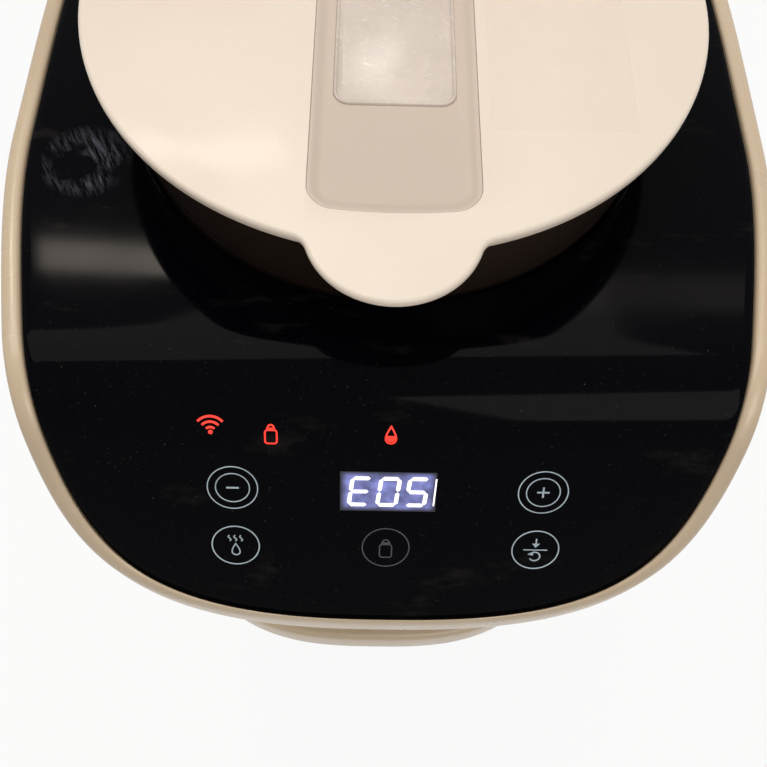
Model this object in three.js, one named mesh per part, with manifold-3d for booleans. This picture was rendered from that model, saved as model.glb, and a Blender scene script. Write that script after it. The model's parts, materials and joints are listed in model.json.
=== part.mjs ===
// Baby formula maker: a counter-top machine that doses milk powder and warm water into a bottle.
// Millimetres, +Z up, the user stands at -Y. The origin lies on the table under the powder lid's centre.
import * as THREE from "three";
import { mergeVertices } from "three/addons/utils/BufferGeometryUtils.js";
import Module from "manifold-3d";

const wasm = await Module();
wasm.setup();

// General sizes
const gap = 0.3;
const overrun = 10;
const reach = 400;
const mergeDistance = 0.0005;
const roundSteps = 20;
const fineSteps = 40;
const smallSteps = 8;
const cornerSteps = 2;
const noseSteps = 8;

// The powder house sets the width of the machine
const houseTopRadius = 82;
const panelBorder = 24;

// Plan outline of the machine: a superellipse, squarer at the front and drawn in there
const panelHalfWidth = houseTopRadius + panelBorder;
const panelHalfLength = 150.5;
const outlinePower = 3.1;
const frontWidthPower = 2.55;
const frontLengthPower = 10.7;
const taperShare = 0.149;
const taperStart = 23;
const taperEnd = 143;
const endSlim = 4;
const outlineSteps = 48;
const shellWall = 2.5;

// Side bulge of the shells
const bulgeDepth = 3.6;
const bulgeStart = 60;
const bulgePeak = 245;
const bulgeEnd = 300;
const bulgeFadeFront = -92;
const bulgeFadeBack = -10;
const loftStep = 34;

// Top panel: flat at the back, bent down into the touch slope
const panelTop = 286;
const panelThickness = 2.5;
const slopeAngle = THREE.MathUtils.degToRad(54.6);
const slopeRun = 44;
const slopeCorner = panelHalfLength - slopeRun;
const bendRadius = 32;
const bendSteps = 6;
const panelBehindHouse = 6;
const panelBack = houseTopRadius + panelBehindHouse;

// Rim bead round the panel
const rimWidth = 5.2;
const rimRise = 0.9;
const rimStep = 0.7;
const rimDepth = 5;
const rimLip = 4;

// Heights of the housing
const footHeight = 4;
const footRadius = 9;
const baseTop = 24;
const headBottom = 211;
const tankDeck = 40;
const rearPanelStep = 6;
const rearPanelBack = panelBack + rearPanelStep;
const columnFront = 22;
const columnCorner = 18;

// Base
const baseBeyondPanel = 2;
const baseBehindPanel = 1.5;
const baseHalfWidth = panelHalfWidth + baseBeyondPanel;
const baseHalfLength = panelHalfLength + baseBehindPanel;
const baseNoseRadius = baseHalfWidth;
const baseNoseShare = 0.784;
const baseNoseFront = panelHalfLength * baseNoseShare;
const baseNoseFlatness = 10.5;
const baseNoseCentre = baseNoseFront - baseNoseRadius + baseNoseFlatness;
const baseWall = 3;
const baseRound = 3;
const basePlateThickness = 2;
const footFrontInset = 46;
const footBackInset = 34;
const footNoseInset = 32;
const footRearInset = 40;
const footFrontX = baseHalfWidth - footFrontInset;
const footFrontY = baseNoseFront - footNoseInset;
const footBackX = baseHalfWidth - footBackInset;
const footBackY = baseHalfLength - footRearInset;

// Drip tray and bottle grid
const traySideInset = 50;
const trayFrontInset = 14;
const trayHalfWidth = baseHalfWidth - traySideInset;
const trayFront = baseNoseFront - trayFrontInset;
const trayBack = 27;
const trayCorner = 14;
const trayDepth = 12;
const trayWall = 1.6;
const gridThickness = 2.4;
const gridSlotWidth = 4;
const gridSlotPitch = 9;
const gridSlotCount = 3;
const gridPad = 13;

// Powder house and its bay
const houseFloor = 228;
const houseProud = 31;
const houseTaper = 12;
const houseTop = panelTop + houseProud;
const houseBottomRadius = houseTopRadius - houseTaper;
const houseWall = 2.5;
const bayFloor = 222;
const bayWall = 2;
const bayClearance = 1.4;
const bayFlange = 2;
const bayFlangeThickness = 2.4;
const outletMargin = 2.2;

// Powder lid
const lidOverhang = 4;
const lidRadius = houseTopRadius + lidOverhang;
const lidThickness = 3;
const tabRadius = 22;
const tabInset = 7.3;
const tabCentre = lidRadius - tabInset;
const tabFillet = 5;
const tabThickness = 2;
const stripHalfWidth = 21.5;
const stripInset = 11;
const stripFront = lidRadius - stripInset;
const stripSink = 1.1;
const stripThickness = 1.2;
const stripCorner = 5;
const windowHalfWidth = 16;
const windowFront = 41;
const windowRise = 0.9;
const windowThickness = 1.4;
const windowCorner = 3.6;
const plugInset = 7;
const plugRadius = houseTopRadius - plugInset;
const plugWall = 2;
const plugDepth = 6;
const sealHeight = 3;
const sealDrop = 1.8;

// Hinge of the powder lid
const lidHingeGap = 4.2;
const lidHingeY = houseTopRadius + lidHingeGap;
const lidHingeDrop = 3.6;
const hingePinRadius = 1.5;
const hingeBarrelRadius = 3.2;
const hingeBarrelHalf = 13.5;
const hingeEarWidth = 4;

// Dosing wheel, stirrer and drive
const wheelInset = 3;
const wheelRadius = houseBottomRadius - wheelInset;
const wheelThickness = 10;
const wheelLift = 0.4;
const pocketRadius = 8;
const pocketInset = 13;
const pocketCircle = wheelRadius - pocketInset;
const pocketCount = 6;
const outletRadius = 9;
const hubRadius = 10;
const hubHeight = 15;
const hexRadius = 3.6;
const hexSteps = 6;
const coverThickness = 2.4;
const coverOverPocket = 14;
const coverInner = pocketCircle - coverOverPocket;
const coverHalfWidth = 14;
const stirrerHubHeight = 22;
const stirrerArmCount = 4;
const stirrerInset = 9;
const stirrerArmReach = wheelRadius - stirrerInset;
const stirrerArmWidth = 3.5;
const stirrerArmHeight = 5;
const stirrerArmLift = 2;
const fingerHeight = 16;
const capRadius = 7;
const capHeight = 5;
const shaftRadius = 4;
const gearModule = 1;
const gearTeeth = 34;
const pinionTeeth = 12;
const gearWidth = 6;
const gearBacklash = 0.16;
const gearLift = 3;
const deckThickness = 3;
const deckBottom = 203;
const deckPostRadius = 4;
const deckPostX = 45;
const deckPostFrontY = 8;
const deckPostBackY = 58;
const motorRadius = 17;
const motorLength = 42;
const motorBoreDepth = 8;
const pinionShaftRadius = 2;

// Powder chute, mixing funnel and its holder
const chuteRadius = 10.5;
const chuteWall = 1.8;
const chuteBottom = 207;
const undersideThickness = 2.5;
const undersideBack = 20;
const funnelCentre = 60;
const funnelTopRadius = 32;
const funnelFlangeRadius = 37;
const funnelFlange = 2;
const funnelTop = 204;
const funnelDepth = 22;
const funnelWall = 1.6;
const funnelOutlet = 6;
const funnelSpout = 8;
const holderThickness = 3;
const holderHalfWidth = 50;
const holderBehindTray = 2;
const holderFront = trayFront - holderBehindTray;
const holderBack = 25;
const holderGripHeight = 13;
const holderGripThickness = 3;
const runnerWeb = 3;
const runnerFoot = 6;
const runnerFootThickness = 2.5;

// Water tank and its lid
const tankTop = 278;
const tankWall = 2.5;
const tankFloor = 3;
const tankFrontGap = 0.6;
const tankLidThickness = 6;
const tankSkirtDepth = 6;
const tankSkirtWall = 1.8;
const tankSkirtPlay = 1.4;
const tankHingeInset = 1.8;
const tankHingeY = panelHalfLength - tankHingeInset;
const tankEarX = 30;
const tankEarWidth = 4;
const tankRidgeHalf = 22;
const tankRidgeDepth = 4;
const tankRidgeHeight = 3;
const spoutDepthShare = 0.46;
const spoutY = rearPanelBack + spoutDepthShare * (panelHalfLength - rearPanelBack);
const spoutRadius = 7;
const spoutWall = 2;
const spoutLength = 7;
const plungerRadius = 7.2;
const plungerThickness = 2.4;
const plungerStem = 1.6;
const plungerTop = 11;
const valveTravel = 4;
const cageRadius = 12;
const cageWall = 1.6;
const cageHeight = 18;
const springRadius = 4.6;
const springWire = 0.5;
const springTurns = 5;
const springStepsPerTurn = 8;
const floatX = 55;
const floatRadius = 10;
const floatHeight = 14;
const floatRodRadius = 2;
const floatRodHeight = 32;
const floatRodHead = 4;
const floatRest = 1.2;

// Dock under the tank
const dockRadius = 10.5;
const dockWall = 1.8;
const dockFlange = 3;
const dockDepth = 13;
const dockPinRadius = 1.2;
const dockBarbRadius = 3;
const dockBarbLength = 3;
const dockSealHeight = 3;

// Pump, heater and hoses
const pumpX = -50;
const pumpInFrontOfRear = 56;
const pumpY = rearPanelBack - pumpInFrontOfRear;
const pumpRadius = 15;
const pumpLength = 48;
const pumpAxisLift = 20;
const pumpFootHalf = 12;
const barbRadius = 3;
const barbLength = 7;
const heaterX = 48;
const heaterY = 34;
const heaterRadius = 21;
const heaterHeight = 86;
const sensorSize = 9;
const sensorLift = 40;
const hoseRadius = 3.2;
const hoseSides = 8;
const hoseStep = 9;
const floorHoleRadius = 8;
const nozzleX = 19;
const nozzleAhead = 19;
const nozzleY = pocketCircle + nozzleAhead;
const nozzleRadius = 5.5;
const nozzleDrop = 6;
const nozzleCollar = 2;

// Electrics
const powerBoardHalf = 52;
const powerBoardBottom = 118;
const powerBoardHeight = 64;
const boardThickness = 1.6;
const standoffLength = 4;
const standoffRadius = 3;
const transformerSize = 26;
const controlBoardHalf = 66;
const controlBoardLow = 10;
const controlBoardHigh = 42;
const controlBoardDepth = 6;
const milkKeyInset = 15.2;
const milkKeyY = panelHalfLength - milkKeyInset;
const displayHalfWidth = 14.5;
const displayHeight = 15;
const displayLift = 18.5;
const sensorLensRadius = 5;
const sensorLensLength = 10;
const sensorHeight = 120;
const inletX = 34;
const inletWidth = 26;
const inletHeight = 18;
const inletLow = 12;
const inletDepth = 20;
const inletInset = 5;
const inletFace = baseHalfLength - inletInset;
const socketWidth = 17;
const socketHeight = 9.5;
const socketDepth = 12;
const inletPinRadius = 1.2;
const inletPinSpacing = 8.6;
const switchWall = 2;
const rockerTilt = THREE.MathUtils.degToRad(8);
const rockerDepth = 5;

// Shapes

function solidOf(geometry) {
  geometry.deleteAttribute("normal");
  geometry.deleteAttribute("uv");
  const merged = mergeVertices(geometry, mergeDistance);
  const corners = merged.index.array;
  const kept = [];
  for (let i = 0; i < corners.length; i += 3) {
    const [a, b, c] = [corners[i], corners[i + 1], corners[i + 2]];
    if (a !== b && b !== c && c !== a) kept.push(a, b, c);
  }
  const vertProperties = merged.attributes.position.array;
  const build = (triangles) =>
    new wasm.Manifold(new wasm.Mesh({ numProp: 3, vertProperties, triVerts: new Uint32Array(triangles) }));
  const made = build(kept);
  return made.volume() > 0 ? made : build(kept.reverse());
}

function shapeOf(points) {
  return new THREE.Shape(points.map(([x, y]) => new THREE.Vector2(x, y)));
}

// A plan shape raised from bottom to top.
function prism(shape, bottom, top, curveSegments = cornerSteps) {
  const depth = top - bottom;
  const geometry = new THREE.ExtrudeGeometry(shape, { depth, bevelEnabled: false, curveSegments });
  return solidOf(geometry.translate(0, 0, bottom));
}

// A shape drawn in (Y, Z), carried across X from left to right.
function across(shape, left, right) {
  const geometry = new THREE.ExtrudeGeometry(shape, {
    depth: right - left,
    bevelEnabled: false,
  });
  const turn = new THREE.Matrix4().makeBasis(
    new THREE.Vector3(0, 1, 0),
    new THREE.Vector3(0, 0, 1),
    new THREE.Vector3(1, 0, 0),
  );
  return solidOf(geometry.applyMatrix4(turn).translate(left, 0, 0));
}

// A profile of [radius, height] points turned about a vertical axis at (x, y).
function turned(profile, x = 0, y = 0, steps = roundSteps) {
  const points = profile.map(([radius, height]) => new THREE.Vector2(radius, height));
  const geometry = new THREE.LatheGeometry(points, steps);
  return solidOf(geometry.rotateX(Math.PI / 2).translate(x, y, 0));
}

function disc(radius, bottom, top, x = 0, y = 0, steps = roundSteps) {
  return turned([[0, bottom], [radius, bottom], [radius, top], [0, top]], x, y, steps);
}

function ring(inner, outer, bottom, top, x = 0, y = 0, steps = roundSteps) {
  return turned([[inner, bottom], [outer, bottom], [outer, top], [inner, top], [inner, bottom]], x, y, steps);
}

function box(x0, x1, y0, y1, z0, z1) {
  const geometry = new THREE.BoxGeometry(x1 - x0, y1 - y0, z1 - z0);
  return solidOf(geometry.translate((x0 + x1) / 2, (y0 + y1) / 2, (z0 + z1) / 2));
}

function rodAlongX(radius, left, right, y, z, steps = smallSteps) {
  const geometry = new THREE.CylinderGeometry(radius, radius, right - left, steps);
  return solidOf(geometry.rotateZ(Math.PI / 2).translate((left + right) / 2, y, z));
}

function rodAlongY(radius, front, back, x, z, steps = smallSteps) {
  const geometry = new THREE.CylinderGeometry(radius, radius, back - front, steps);
  return solidOf(geometry.translate(x, (front + back) / 2, z));
}

function joined(solids) {
  return solids.reduce((whole, solid) => whole.add(solid));
}

function cutBy(whole, cutters) {
  return cutters.reduce((left, cutter) => left.subtract(cutter), whole);
}

function arc(x, y, radius, from, to, steps) {
  return Array.from({ length: steps + 1 }, (_, i) => {
    const turn = from + ((to - from) * i) / steps;
    return [x + radius * Math.cos(turn), y + radius * Math.sin(turn)];
  });
}

function roundedRectangle(x0, x1, y0, y1, corner) {
  const shape = new THREE.Shape();
  shape.moveTo(x0 + corner, y0);
  shape.lineTo(x1 - corner, y0);
  shape.absarc(x1 - corner, y0 + corner, corner, -Math.PI / 2, 0);
  shape.lineTo(x1, y1 - corner);
  shape.absarc(x1 - corner, y1 - corner, corner, 0, Math.PI / 2);
  shape.lineTo(x0 + corner, y1);
  shape.absarc(x0 + corner, y1 - corner, corner, Math.PI / 2, Math.PI);
  shape.lineTo(x0, y0 + corner);
  shape.absarc(x0 + corner, y0 + corner, corner, Math.PI, 1.5 * Math.PI);
  return shape;
}

// Plan outline at a sideways offset from the panel's edge, with the sides swollen by bulge. Outside the
// panel and its gap, the front and back ends stand out less than the sides.
function outlinePoints(offset, bulge = 0) {
  const halfWidth = panelHalfWidth + offset;
  const halfLength = panelHalfLength + (offset > gap ? offset - endSlim : offset);
  const points = [];
  for (let i = 0; i < outlineSteps; i++) {
    const turn = (2 * Math.PI * i) / outlineSteps;
    const inFront = Math.sin(turn) < 0;
    const widthPower = inFront ? frontWidthPower : outlinePower;
    const lengthPower = inFront ? frontLengthPower : outlinePower;
    const acrossShare = (1 - Math.abs(Math.sin(turn)) ** lengthPower) ** (1 / widthPower);
    const y = Math.sin(turn) * halfLength;
    const fade = THREE.MathUtils.smoothstep(y, bulgeFadeFront, bulgeFadeBack);
    const taper = taperShare * THREE.MathUtils.smoothstep(-y, taperStart, taperEnd);
    const half = halfWidth - panelHalfWidth * taper + bulge * fade * acrossShare;
    const x = Math.sign(Math.cos(turn)) * acrossShare * half;
    points.push([x, y]);
  }
  return points;
}

function bulgeAt(z) {
  const rise = THREE.MathUtils.smoothstep(z, bulgeStart, bulgePeak);
  return bulgeDepth * rise * (1 - THREE.MathUtils.smoothstep(z, bulgePeak, bulgeEnd));
}

function outlinePrism(offset, bottom, top) {
  return prism(shapeOf(outlinePoints(offset)), bottom, top);
}

// The swollen body between two heights, closed at both ends.
function bodyLoft(offset, bottom, top) {
  const levels = Math.ceil((top - bottom) / loftStep);
  const positions = [];
  const corners = [];
  for (let level = 0; level <= levels; level++) {
    const z = bottom + ((top - bottom) * level) / levels;
    outlinePoints(offset, bulgeAt(z)).forEach(([x, y]) => positions.push(x, y, z));
  }
  positions.push(0, 0, bottom, 0, 0, top);
  const bottomCentre = (levels + 1) * outlineSteps;
  const topRing = levels * outlineSteps;
  for (let i = 0; i < outlineSteps; i++) {
    const next = (i + 1) % outlineSteps;
    for (let level = 0; level < levels; level++) {
      const low = level * outlineSteps;
      const high = low + outlineSteps;
      corners.push(low + i, low + next, high + next, low + i, high + next, high + i);
    }
    corners.push(bottomCentre, next, i, bottomCentre + 1, topRing + i, topRing + next);
  }
  const geometry = new THREE.BufferGeometry();
  geometry.setAttribute("position", new THREE.BufferAttribute(new Float32Array(positions), 3));
  geometry.setIndex(corners);
  return solidOf(geometry);
}

// Side view of the top surface, moved out by raise: flat, bend, slope. Points are [y, z], back to front.
function topCurve(raise) {
  const tangent = bendRadius * Math.tan(slopeAngle / 2);
  const bendY = -(slopeCorner - tangent);
  const bendZ = panelTop - bendRadius;
  const radius = bendRadius + raise;
  const points = [[reach, panelTop + raise]];
  for (let i = 0; i <= bendSteps; i++) {
    const turn = (slopeAngle * i) / bendSteps;
    points.push([bendY - radius * Math.sin(turn), bendZ + radius * Math.cos(turn)]);
  }
  const [lastY, lastZ] = points[points.length - 1];
  const run = panelHalfLength;
  points.push([lastY - run * Math.cos(slopeAngle), lastZ - run * Math.sin(slopeAngle)]);
  return points;
}

// Everything between two offsets of the top surface.
function topSlab(upper, lower) {
  return across(shapeOf([...topCurve(upper), ...topCurve(lower).reverse()]), -reach, reach);
}

// Everything under one offset of the top surface.
function underTop(raise) {
  const curve = topCurve(raise);
  const [front, low] = curve[curve.length - 1];
  const shape = shapeOf([...curve, [front - reach, low], [front - reach, -reach], [reach, -reach]]);
  return across(shape, -reach, reach);
}

function hose(points) {
  const curve = new THREE.CatmullRomCurve3(points.map((p) => new THREE.Vector3(...p)), false, "centripetal");
  const section = new THREE.Shape();
  for (let i = 0; i < hoseSides; i++) {
    const turn = (2 * Math.PI * i) / hoseSides;
    const corner = [hoseRadius * Math.cos(turn), hoseRadius * Math.sin(turn)];
    if (i === 0) section.moveTo(...corner);
    else section.lineTo(...corner);
  }
  const steps = Math.ceil(curve.getLength() / hoseStep);
  return solidOf(new THREE.ExtrudeGeometry(section, { steps, extrudePath: curve, bevelEnabled: false }));
}

// Colours and meshes

const cream = { color: 0xe6d3b8, roughness: 0.3, metalness: 0 };
const lidWhite = { color: 0xf0e6d8, roughness: 0.35, metalness: 0 };
const greyInsert = { color: 0xcfc3b4, roughness: 0.4, metalness: 0 };
const clear = { color: 0xdfe6e8, roughness: 0.05, metalness: 0, transparent: true, opacity: 0.35 };
const blackGloss = { color: 0x08080c, roughness: 0.08, metalness: 0 };
const smoke = { color: 0x2a211c, roughness: 0.2, metalness: 0 };
const darkPlastic = { color: 0x2b2b2e, roughness: 0.6, metalness: 0 };
const whitePlastic = { color: 0xe9e9e6, roughness: 0.5, metalness: 0 };
const rubberGrey = { color: 0x55565a, roughness: 0.85, metalness: 0 };
const steel = { color: 0xb9bcc0, roughness: 0.3, metalness: 1 };
const siliconeHose = { color: 0xd8dcd8, roughness: 0.5, metalness: 0 };
const boardGreen = { color: 0x1e5b3a, roughness: 0.5, metalness: 0 };

function addMesh(parent, name, solid, finish) {
  const made = solid.getMesh();
  const geometry = new THREE.BufferGeometry();
  geometry.setAttribute("position", new THREE.BufferAttribute(Float32Array.from(made.vertProperties), 3));
  geometry.setIndex(new THREE.BufferAttribute(Uint32Array.from(made.triVerts), 1));
  geometry.computeVertexNormals();
  const mesh = new THREE.Mesh(geometry, new THREE.MeshStandardMaterial(finish));
  mesh.name = name;
  parent.add(mesh);
  return mesh;
}

function addGroup(parent, x, y, z) {
  const group = new THREE.Group();
  group.position.set(x, y, z);
  parent.add(group);
  return group;
}

// Shared places that follow from the sizes above
const rimOffset = gap + rimWidth;
const innerOffset = rimOffset - shellWall;
const bayTop = panelTop - panelThickness - gap;
const bendOver = panelTop - rimDepth - gap;
const milkKeyZ = panelTop - (milkKeyY - slopeCorner) * Math.tan(slopeAngle);
const spoutBottom = tankDeck + gap - spoutLength;
const lidUnderside = houseTop + gap;
const lidTop = lidUnderside + lidThickness;
const wheelBottom = houseFloor + houseWall + wheelLift;
const wheelTop = wheelBottom + wheelThickness;
const stirrerBottom = wheelTop + coverThickness + 2 * wheelLift;
const deckTop = deckBottom + deckThickness;
const gearBottom = deckTop + gearLift;
const gearDistance = (gearModule * (gearTeeth + pinionTeeth)) / 2;
const undersideBottom = headBottom + gap;
const undersideTop = undersideBottom + undersideThickness;
const holderBottom = funnelTop - funnelFlange - gap - holderThickness;
const tankFront = rearPanelBack + tankFrontGap;
const tankBottom = tankDeck + gap;
const deckSlabBottom = tankDeck - baseWall;
const hoseLevel = (footHeight + gap + basePlateThickness + baseTop - baseWall) / 2;

function houseRadiusAt(z) {
  const rise = (z - houseFloor) / (houseTop - houseFloor);
  return houseBottomRadius + (houseTopRadius - houseBottomRadius) * rise;
}

// Base

function baseOutline(inset) {
  const nose = baseNoseRadius - inset;
  const front = baseNoseFront - inset;
  const flatHalf = Math.sqrt(nose ** 2 - (front - baseNoseCentre) ** 2);
  const halfWidth = baseHalfWidth - inset;
  const halfLength = baseHalfLength - inset;
  const shape = new THREE.Shape();
  const start = Math.atan2(-(front - baseNoseCentre), flatHalf);
  shape.moveTo(-flatHalf, -front);
  shape.lineTo(flatHalf, -front);
  shape.absarc(0, -baseNoseCentre, nose, start, 0);
  const quarter = outlineSteps / 4;
  for (let i = 0; i <= 2 * quarter; i++) {
    const turn = (Math.PI * i) / (2 * quarter);
    const x = Math.sign(Math.cos(turn)) * Math.abs(Math.cos(turn)) ** (2 / outlinePower) * halfWidth;
    const y = Math.abs(Math.sin(turn)) ** (2 / outlinePower) * halfLength;
    shape.lineTo(x, y);
  }
  shape.absarc(0, -baseNoseCentre, nose, Math.PI, Math.PI - start);
  return shape;
}

function trayShape(grow) {
  const corner = trayCorner + grow;
  return roundedRectangle(
    -trayHalfWidth - grow, trayHalfWidth + grow, -trayFront - grow, -trayBack + grow, corner,
  );
}

function makeBaseShell() {
  const low = footHeight + gap;
  const outer = joined([
    prism(baseOutline(0), low, baseTop - baseRound, noseSteps),
    prism(baseOutline(baseRound / 3), low, baseTop - baseRound / 3, noseSteps),
    prism(baseOutline(baseRound), low, baseTop, noseSteps),
    prism(baseOutline(0), low, tankDeck, noseSteps).intersect(box(-reach, reach, tankFront, reach, 0, reach)),
  ]);
  const behind = box(-reach, reach, tankFront + baseWall, reach, 0, reach);
  const hollow = joined([
    prism(baseOutline(baseWall), 0, baseTop - baseWall, noseSteps),
    prism(baseOutline(baseWall), 0, deckSlabBottom, noseSteps).intersect(behind),
  ]);
  const trayFloor = baseTop - trayDepth;
  const tub = prism(trayShape(baseWall), trayFloor - baseWall, baseTop);
  const recess = prism(trayShape(gap), trayFloor, baseTop + overrun);
  const inletHole = box(
    inletX - inletWidth / 2 - gap, inletX + inletWidth / 2 + gap,
    inletFace - inletDepth, reach, inletLow - gap, inletLow + inletHeight + gap,
  );
  const switchHole = box(
    -inletX - inletWidth / 2 - gap, -inletX + inletWidth / 2 + gap,
    inletFace - inletDepth, reach, inletLow - gap, inletLow + inletHeight + gap,
  );
  const shell = outer.subtract(hollow).add(tub);
  return cutBy(shell, [
    recess,
    disc(dockRadius + gap, tankDeck - overrun, tankDeck + overrun, 0, spoutY),
    disc(floorHoleRadius, baseTop - overrun, baseTop + overrun, pumpX, hoseRiseY),
    inletHole,
    switchHole,
  ]);
}

function makeBasePlate() {
  const low = footHeight + gap;
  return prism(baseOutline(baseWall + gap), low, low + basePlateThickness, noseSteps);
}

// Column and head

function columnPlan(inset) {
  const half = panelHalfWidth + rimOffset + bulgeDepth - inset;
  return roundedRectangle(-half, half, -columnFront + inset, reach, columnCorner - inset);
}

function makeColumnShell() {
  const low = baseTop + gap;
  const outer = bodyLoft(rimOffset, low, headBottom).intersect(prism(columnPlan(0), 0, reach));
  const inner = outlinePrism(innerOffset, 0, reach).intersect(prism(columnPlan(shellWall), 0, reach));
  const back = box(-reach, reach, rearPanelBack, reach, 0, reach);
  const lens = rodAlongY(sensorLensRadius + gap, -columnFront - overrun, 0, 0, sensorHeight, roundSteps);
  return cutBy(outer, [inner, back, lens]);
}

function makeHeadShell() {
  const outer = bodyLoft(rimOffset, undersideBottom, panelTop).intersect(underTop(-rimDepth - gap));
  const inner = outlinePrism(innerOffset, 0, reach);
  const back = box(-reach, reach, rearPanelBack, reach, 0, reach);
  return cutBy(outer, [inner, back]);
}

function makeRearPanel() {
  const front = rearPanelBack - shellWall;
  const slice = box(-reach, reach, front, rearPanelBack, baseTop + gap, bendOver);
  return outlinePrism(innerOffset - gap, 0, reach).intersect(slice);
}

function makeHeadUnderside() {
  const plan = outlinePrism(innerOffset - gap, undersideBottom, undersideTop);
  const front = box(-reach, reach, -reach, -undersideBack, 0, reach);
  return cutBy(plan.intersect(front), [
    disc(chuteRadius + chuteWall + gap, 0, reach, 0, -pocketCircle),
    disc(nozzleRadius + gap, 0, reach, nozzleX, -nozzleY),
  ]);
}

// Top panel, rim and gasket

function panelOutline(offset, upper, lower) {
  const behind = box(-reach, reach, -reach, panelBack + offset, 0, reach);
  return outlinePrism(offset, 0, reach).intersect(topSlab(upper, lower)).intersect(behind);
}

function makeTopPanel() {
  const plate = panelOutline(0, 0, -panelThickness);
  const well = disc(houseRadiusAt(panelTop) + bayClearance, 0, reach, 0, 0, fineSteps);
  return plate.subtract(well);
}

function makeTopRim() {
  const bead = panelOutline(rimOffset - rimStep, rimRise, -rimDepth);
  const skirt = panelOutline(rimOffset, 0, -rimDepth);
  const seat = panelOutline(gap, rimRise + overrun, -panelThickness - gap);
  const opening = panelOutline(-rimLip, rimRise + overrun, -rimDepth - overrun);
  return cutBy(bead.add(skirt), [seat, opening]);
}

// Powder bay and drive

function makePowderBay() {
  const bottomRadius = houseRadiusAt(bayFloor) + bayClearance;
  const topRadius = houseRadiusAt(bayTop) + bayClearance;
  const floorTop = bayFloor + bayWall;
  const tub = turned([
    [0, bayFloor],
    [bottomRadius + bayWall, bayFloor],
    [topRadius + bayWall, bayTop - bayFlangeThickness],
    [topRadius + bayWall + bayFlange, bayTop - bayFlangeThickness],
    [topRadius + bayWall + bayFlange, bayTop],
    [topRadius, bayTop],
    [bottomRadius, floorTop],
    [0, floorTop],
  ], 0, 0, fineSteps);
  return cutBy(tub, [
    disc(shaftRadius + gap, 0, reach),
    disc(outletRadius + outletMargin, 0, reach, 0, -pocketCircle),
  ]);
}

function makeSupportDeck() {
  const front = -columnFront + shellWall + gap;
  const back = rearPanelBack - shellWall - gap;
  const inside = outlinePrism(innerOffset - gap, deckBottom, deckTop);
  const rounded = prism(
    roundedRectangle(-reach, reach, front, back, columnCorner - shellWall), deckBottom, deckTop,
  );
  const columnInside = prism(columnPlan(shellWall + gap), deckBottom, deckTop);
  const posts = [];
  for (const x of [-deckPostX, deckPostX]) {
    for (const y of [-deckPostFrontY, deckPostBackY]) {
      posts.push(disc(deckPostRadius, deckBottom, bayFloor - gap, x, y, smallSteps));
    }
  }
  return cutBy(joined([inside.intersect(rounded).intersect(columnInside), ...posts]), [
    disc(shaftRadius + gap, 0, reach),
    disc(pinionShaftRadius + gap, 0, reach, 0, gearDistance, smallSteps),
    disc(hoseRadius + 2 * gap, 0, reach, deckHoseX, deckHoseY),
  ]);
}

// Straight-flanked gear with its axis on Z.
function gearShape(teeth) {
  const pitch = (gearModule * teeth) / 2;
  const tip = pitch + gearModule * (1 - gearBacklash);
  const root = pitch - 1.25 * gearModule;
  const rootShare = 0.34;
  const pitchShare = 0.25 - gearBacklash / 8;
  const tipShare = 0.13;
  const shape = new THREE.Shape();
  for (let tooth = 0; tooth < teeth; tooth++) {
    const flanks = [
      [root, -rootShare], [pitch, -pitchShare], [tip, -tipShare],
      [tip, tipShare], [pitch, pitchShare], [root, rootShare],
    ];
    flanks.forEach(([radius, share], i) => {
      const turn = ((tooth + share) * 2 * Math.PI) / teeth;
      const corner = [radius * Math.cos(turn), radius * Math.sin(turn)];
      if (tooth === 0 && i === 0) shape.moveTo(...corner);
      else shape.lineTo(...corner);
    });
  }
  return shape;
}

function makeDriveGear() {
  const hexBottom = bayFloor + bayWall + gap;
  const hexTop = wheelBottom + wheelThickness / 2;
  return joined([
    prism(gearShape(gearTeeth), gearBottom, gearBottom + gearWidth),
    disc(shaftRadius, deckBottom, hexBottom),
    disc(hexRadius, hexBottom - gap, hexTop, 0, 0, hexSteps),
    disc(shaftRadius + gearModule, deckTop + gap, gearBottom + gap),
  ]);
}

function makePinion() {
  return joined([
    prism(gearShape(pinionTeeth), gearBottom, gearBottom + gearWidth),
    disc(pinionShaftRadius, deckBottom - motorBoreDepth + gap, gearBottom + gap, 0, 0, smallSteps),
  ]);
}

function makeGearMotor() {
  const top = deckBottom - gap;
  const can = joined([
    disc(motorRadius, top - motorLength / 2, top, 0, gearDistance),
    disc(motorRadius - shellWall, top - motorLength, top, 0, gearDistance),
    box(-motorRadius - overrun, motorRadius + overrun, gearDistance - motorRadius / 2,
      gearDistance + motorRadius / 2, top - shellWall, top),
  ]);
  const bore = disc(pinionShaftRadius + gap, top - motorBoreDepth, reach, 0, gearDistance, smallSteps);
  return can.subtract(bore);
}

// Powder house with its dosing wheel, stirrer and lid

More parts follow.
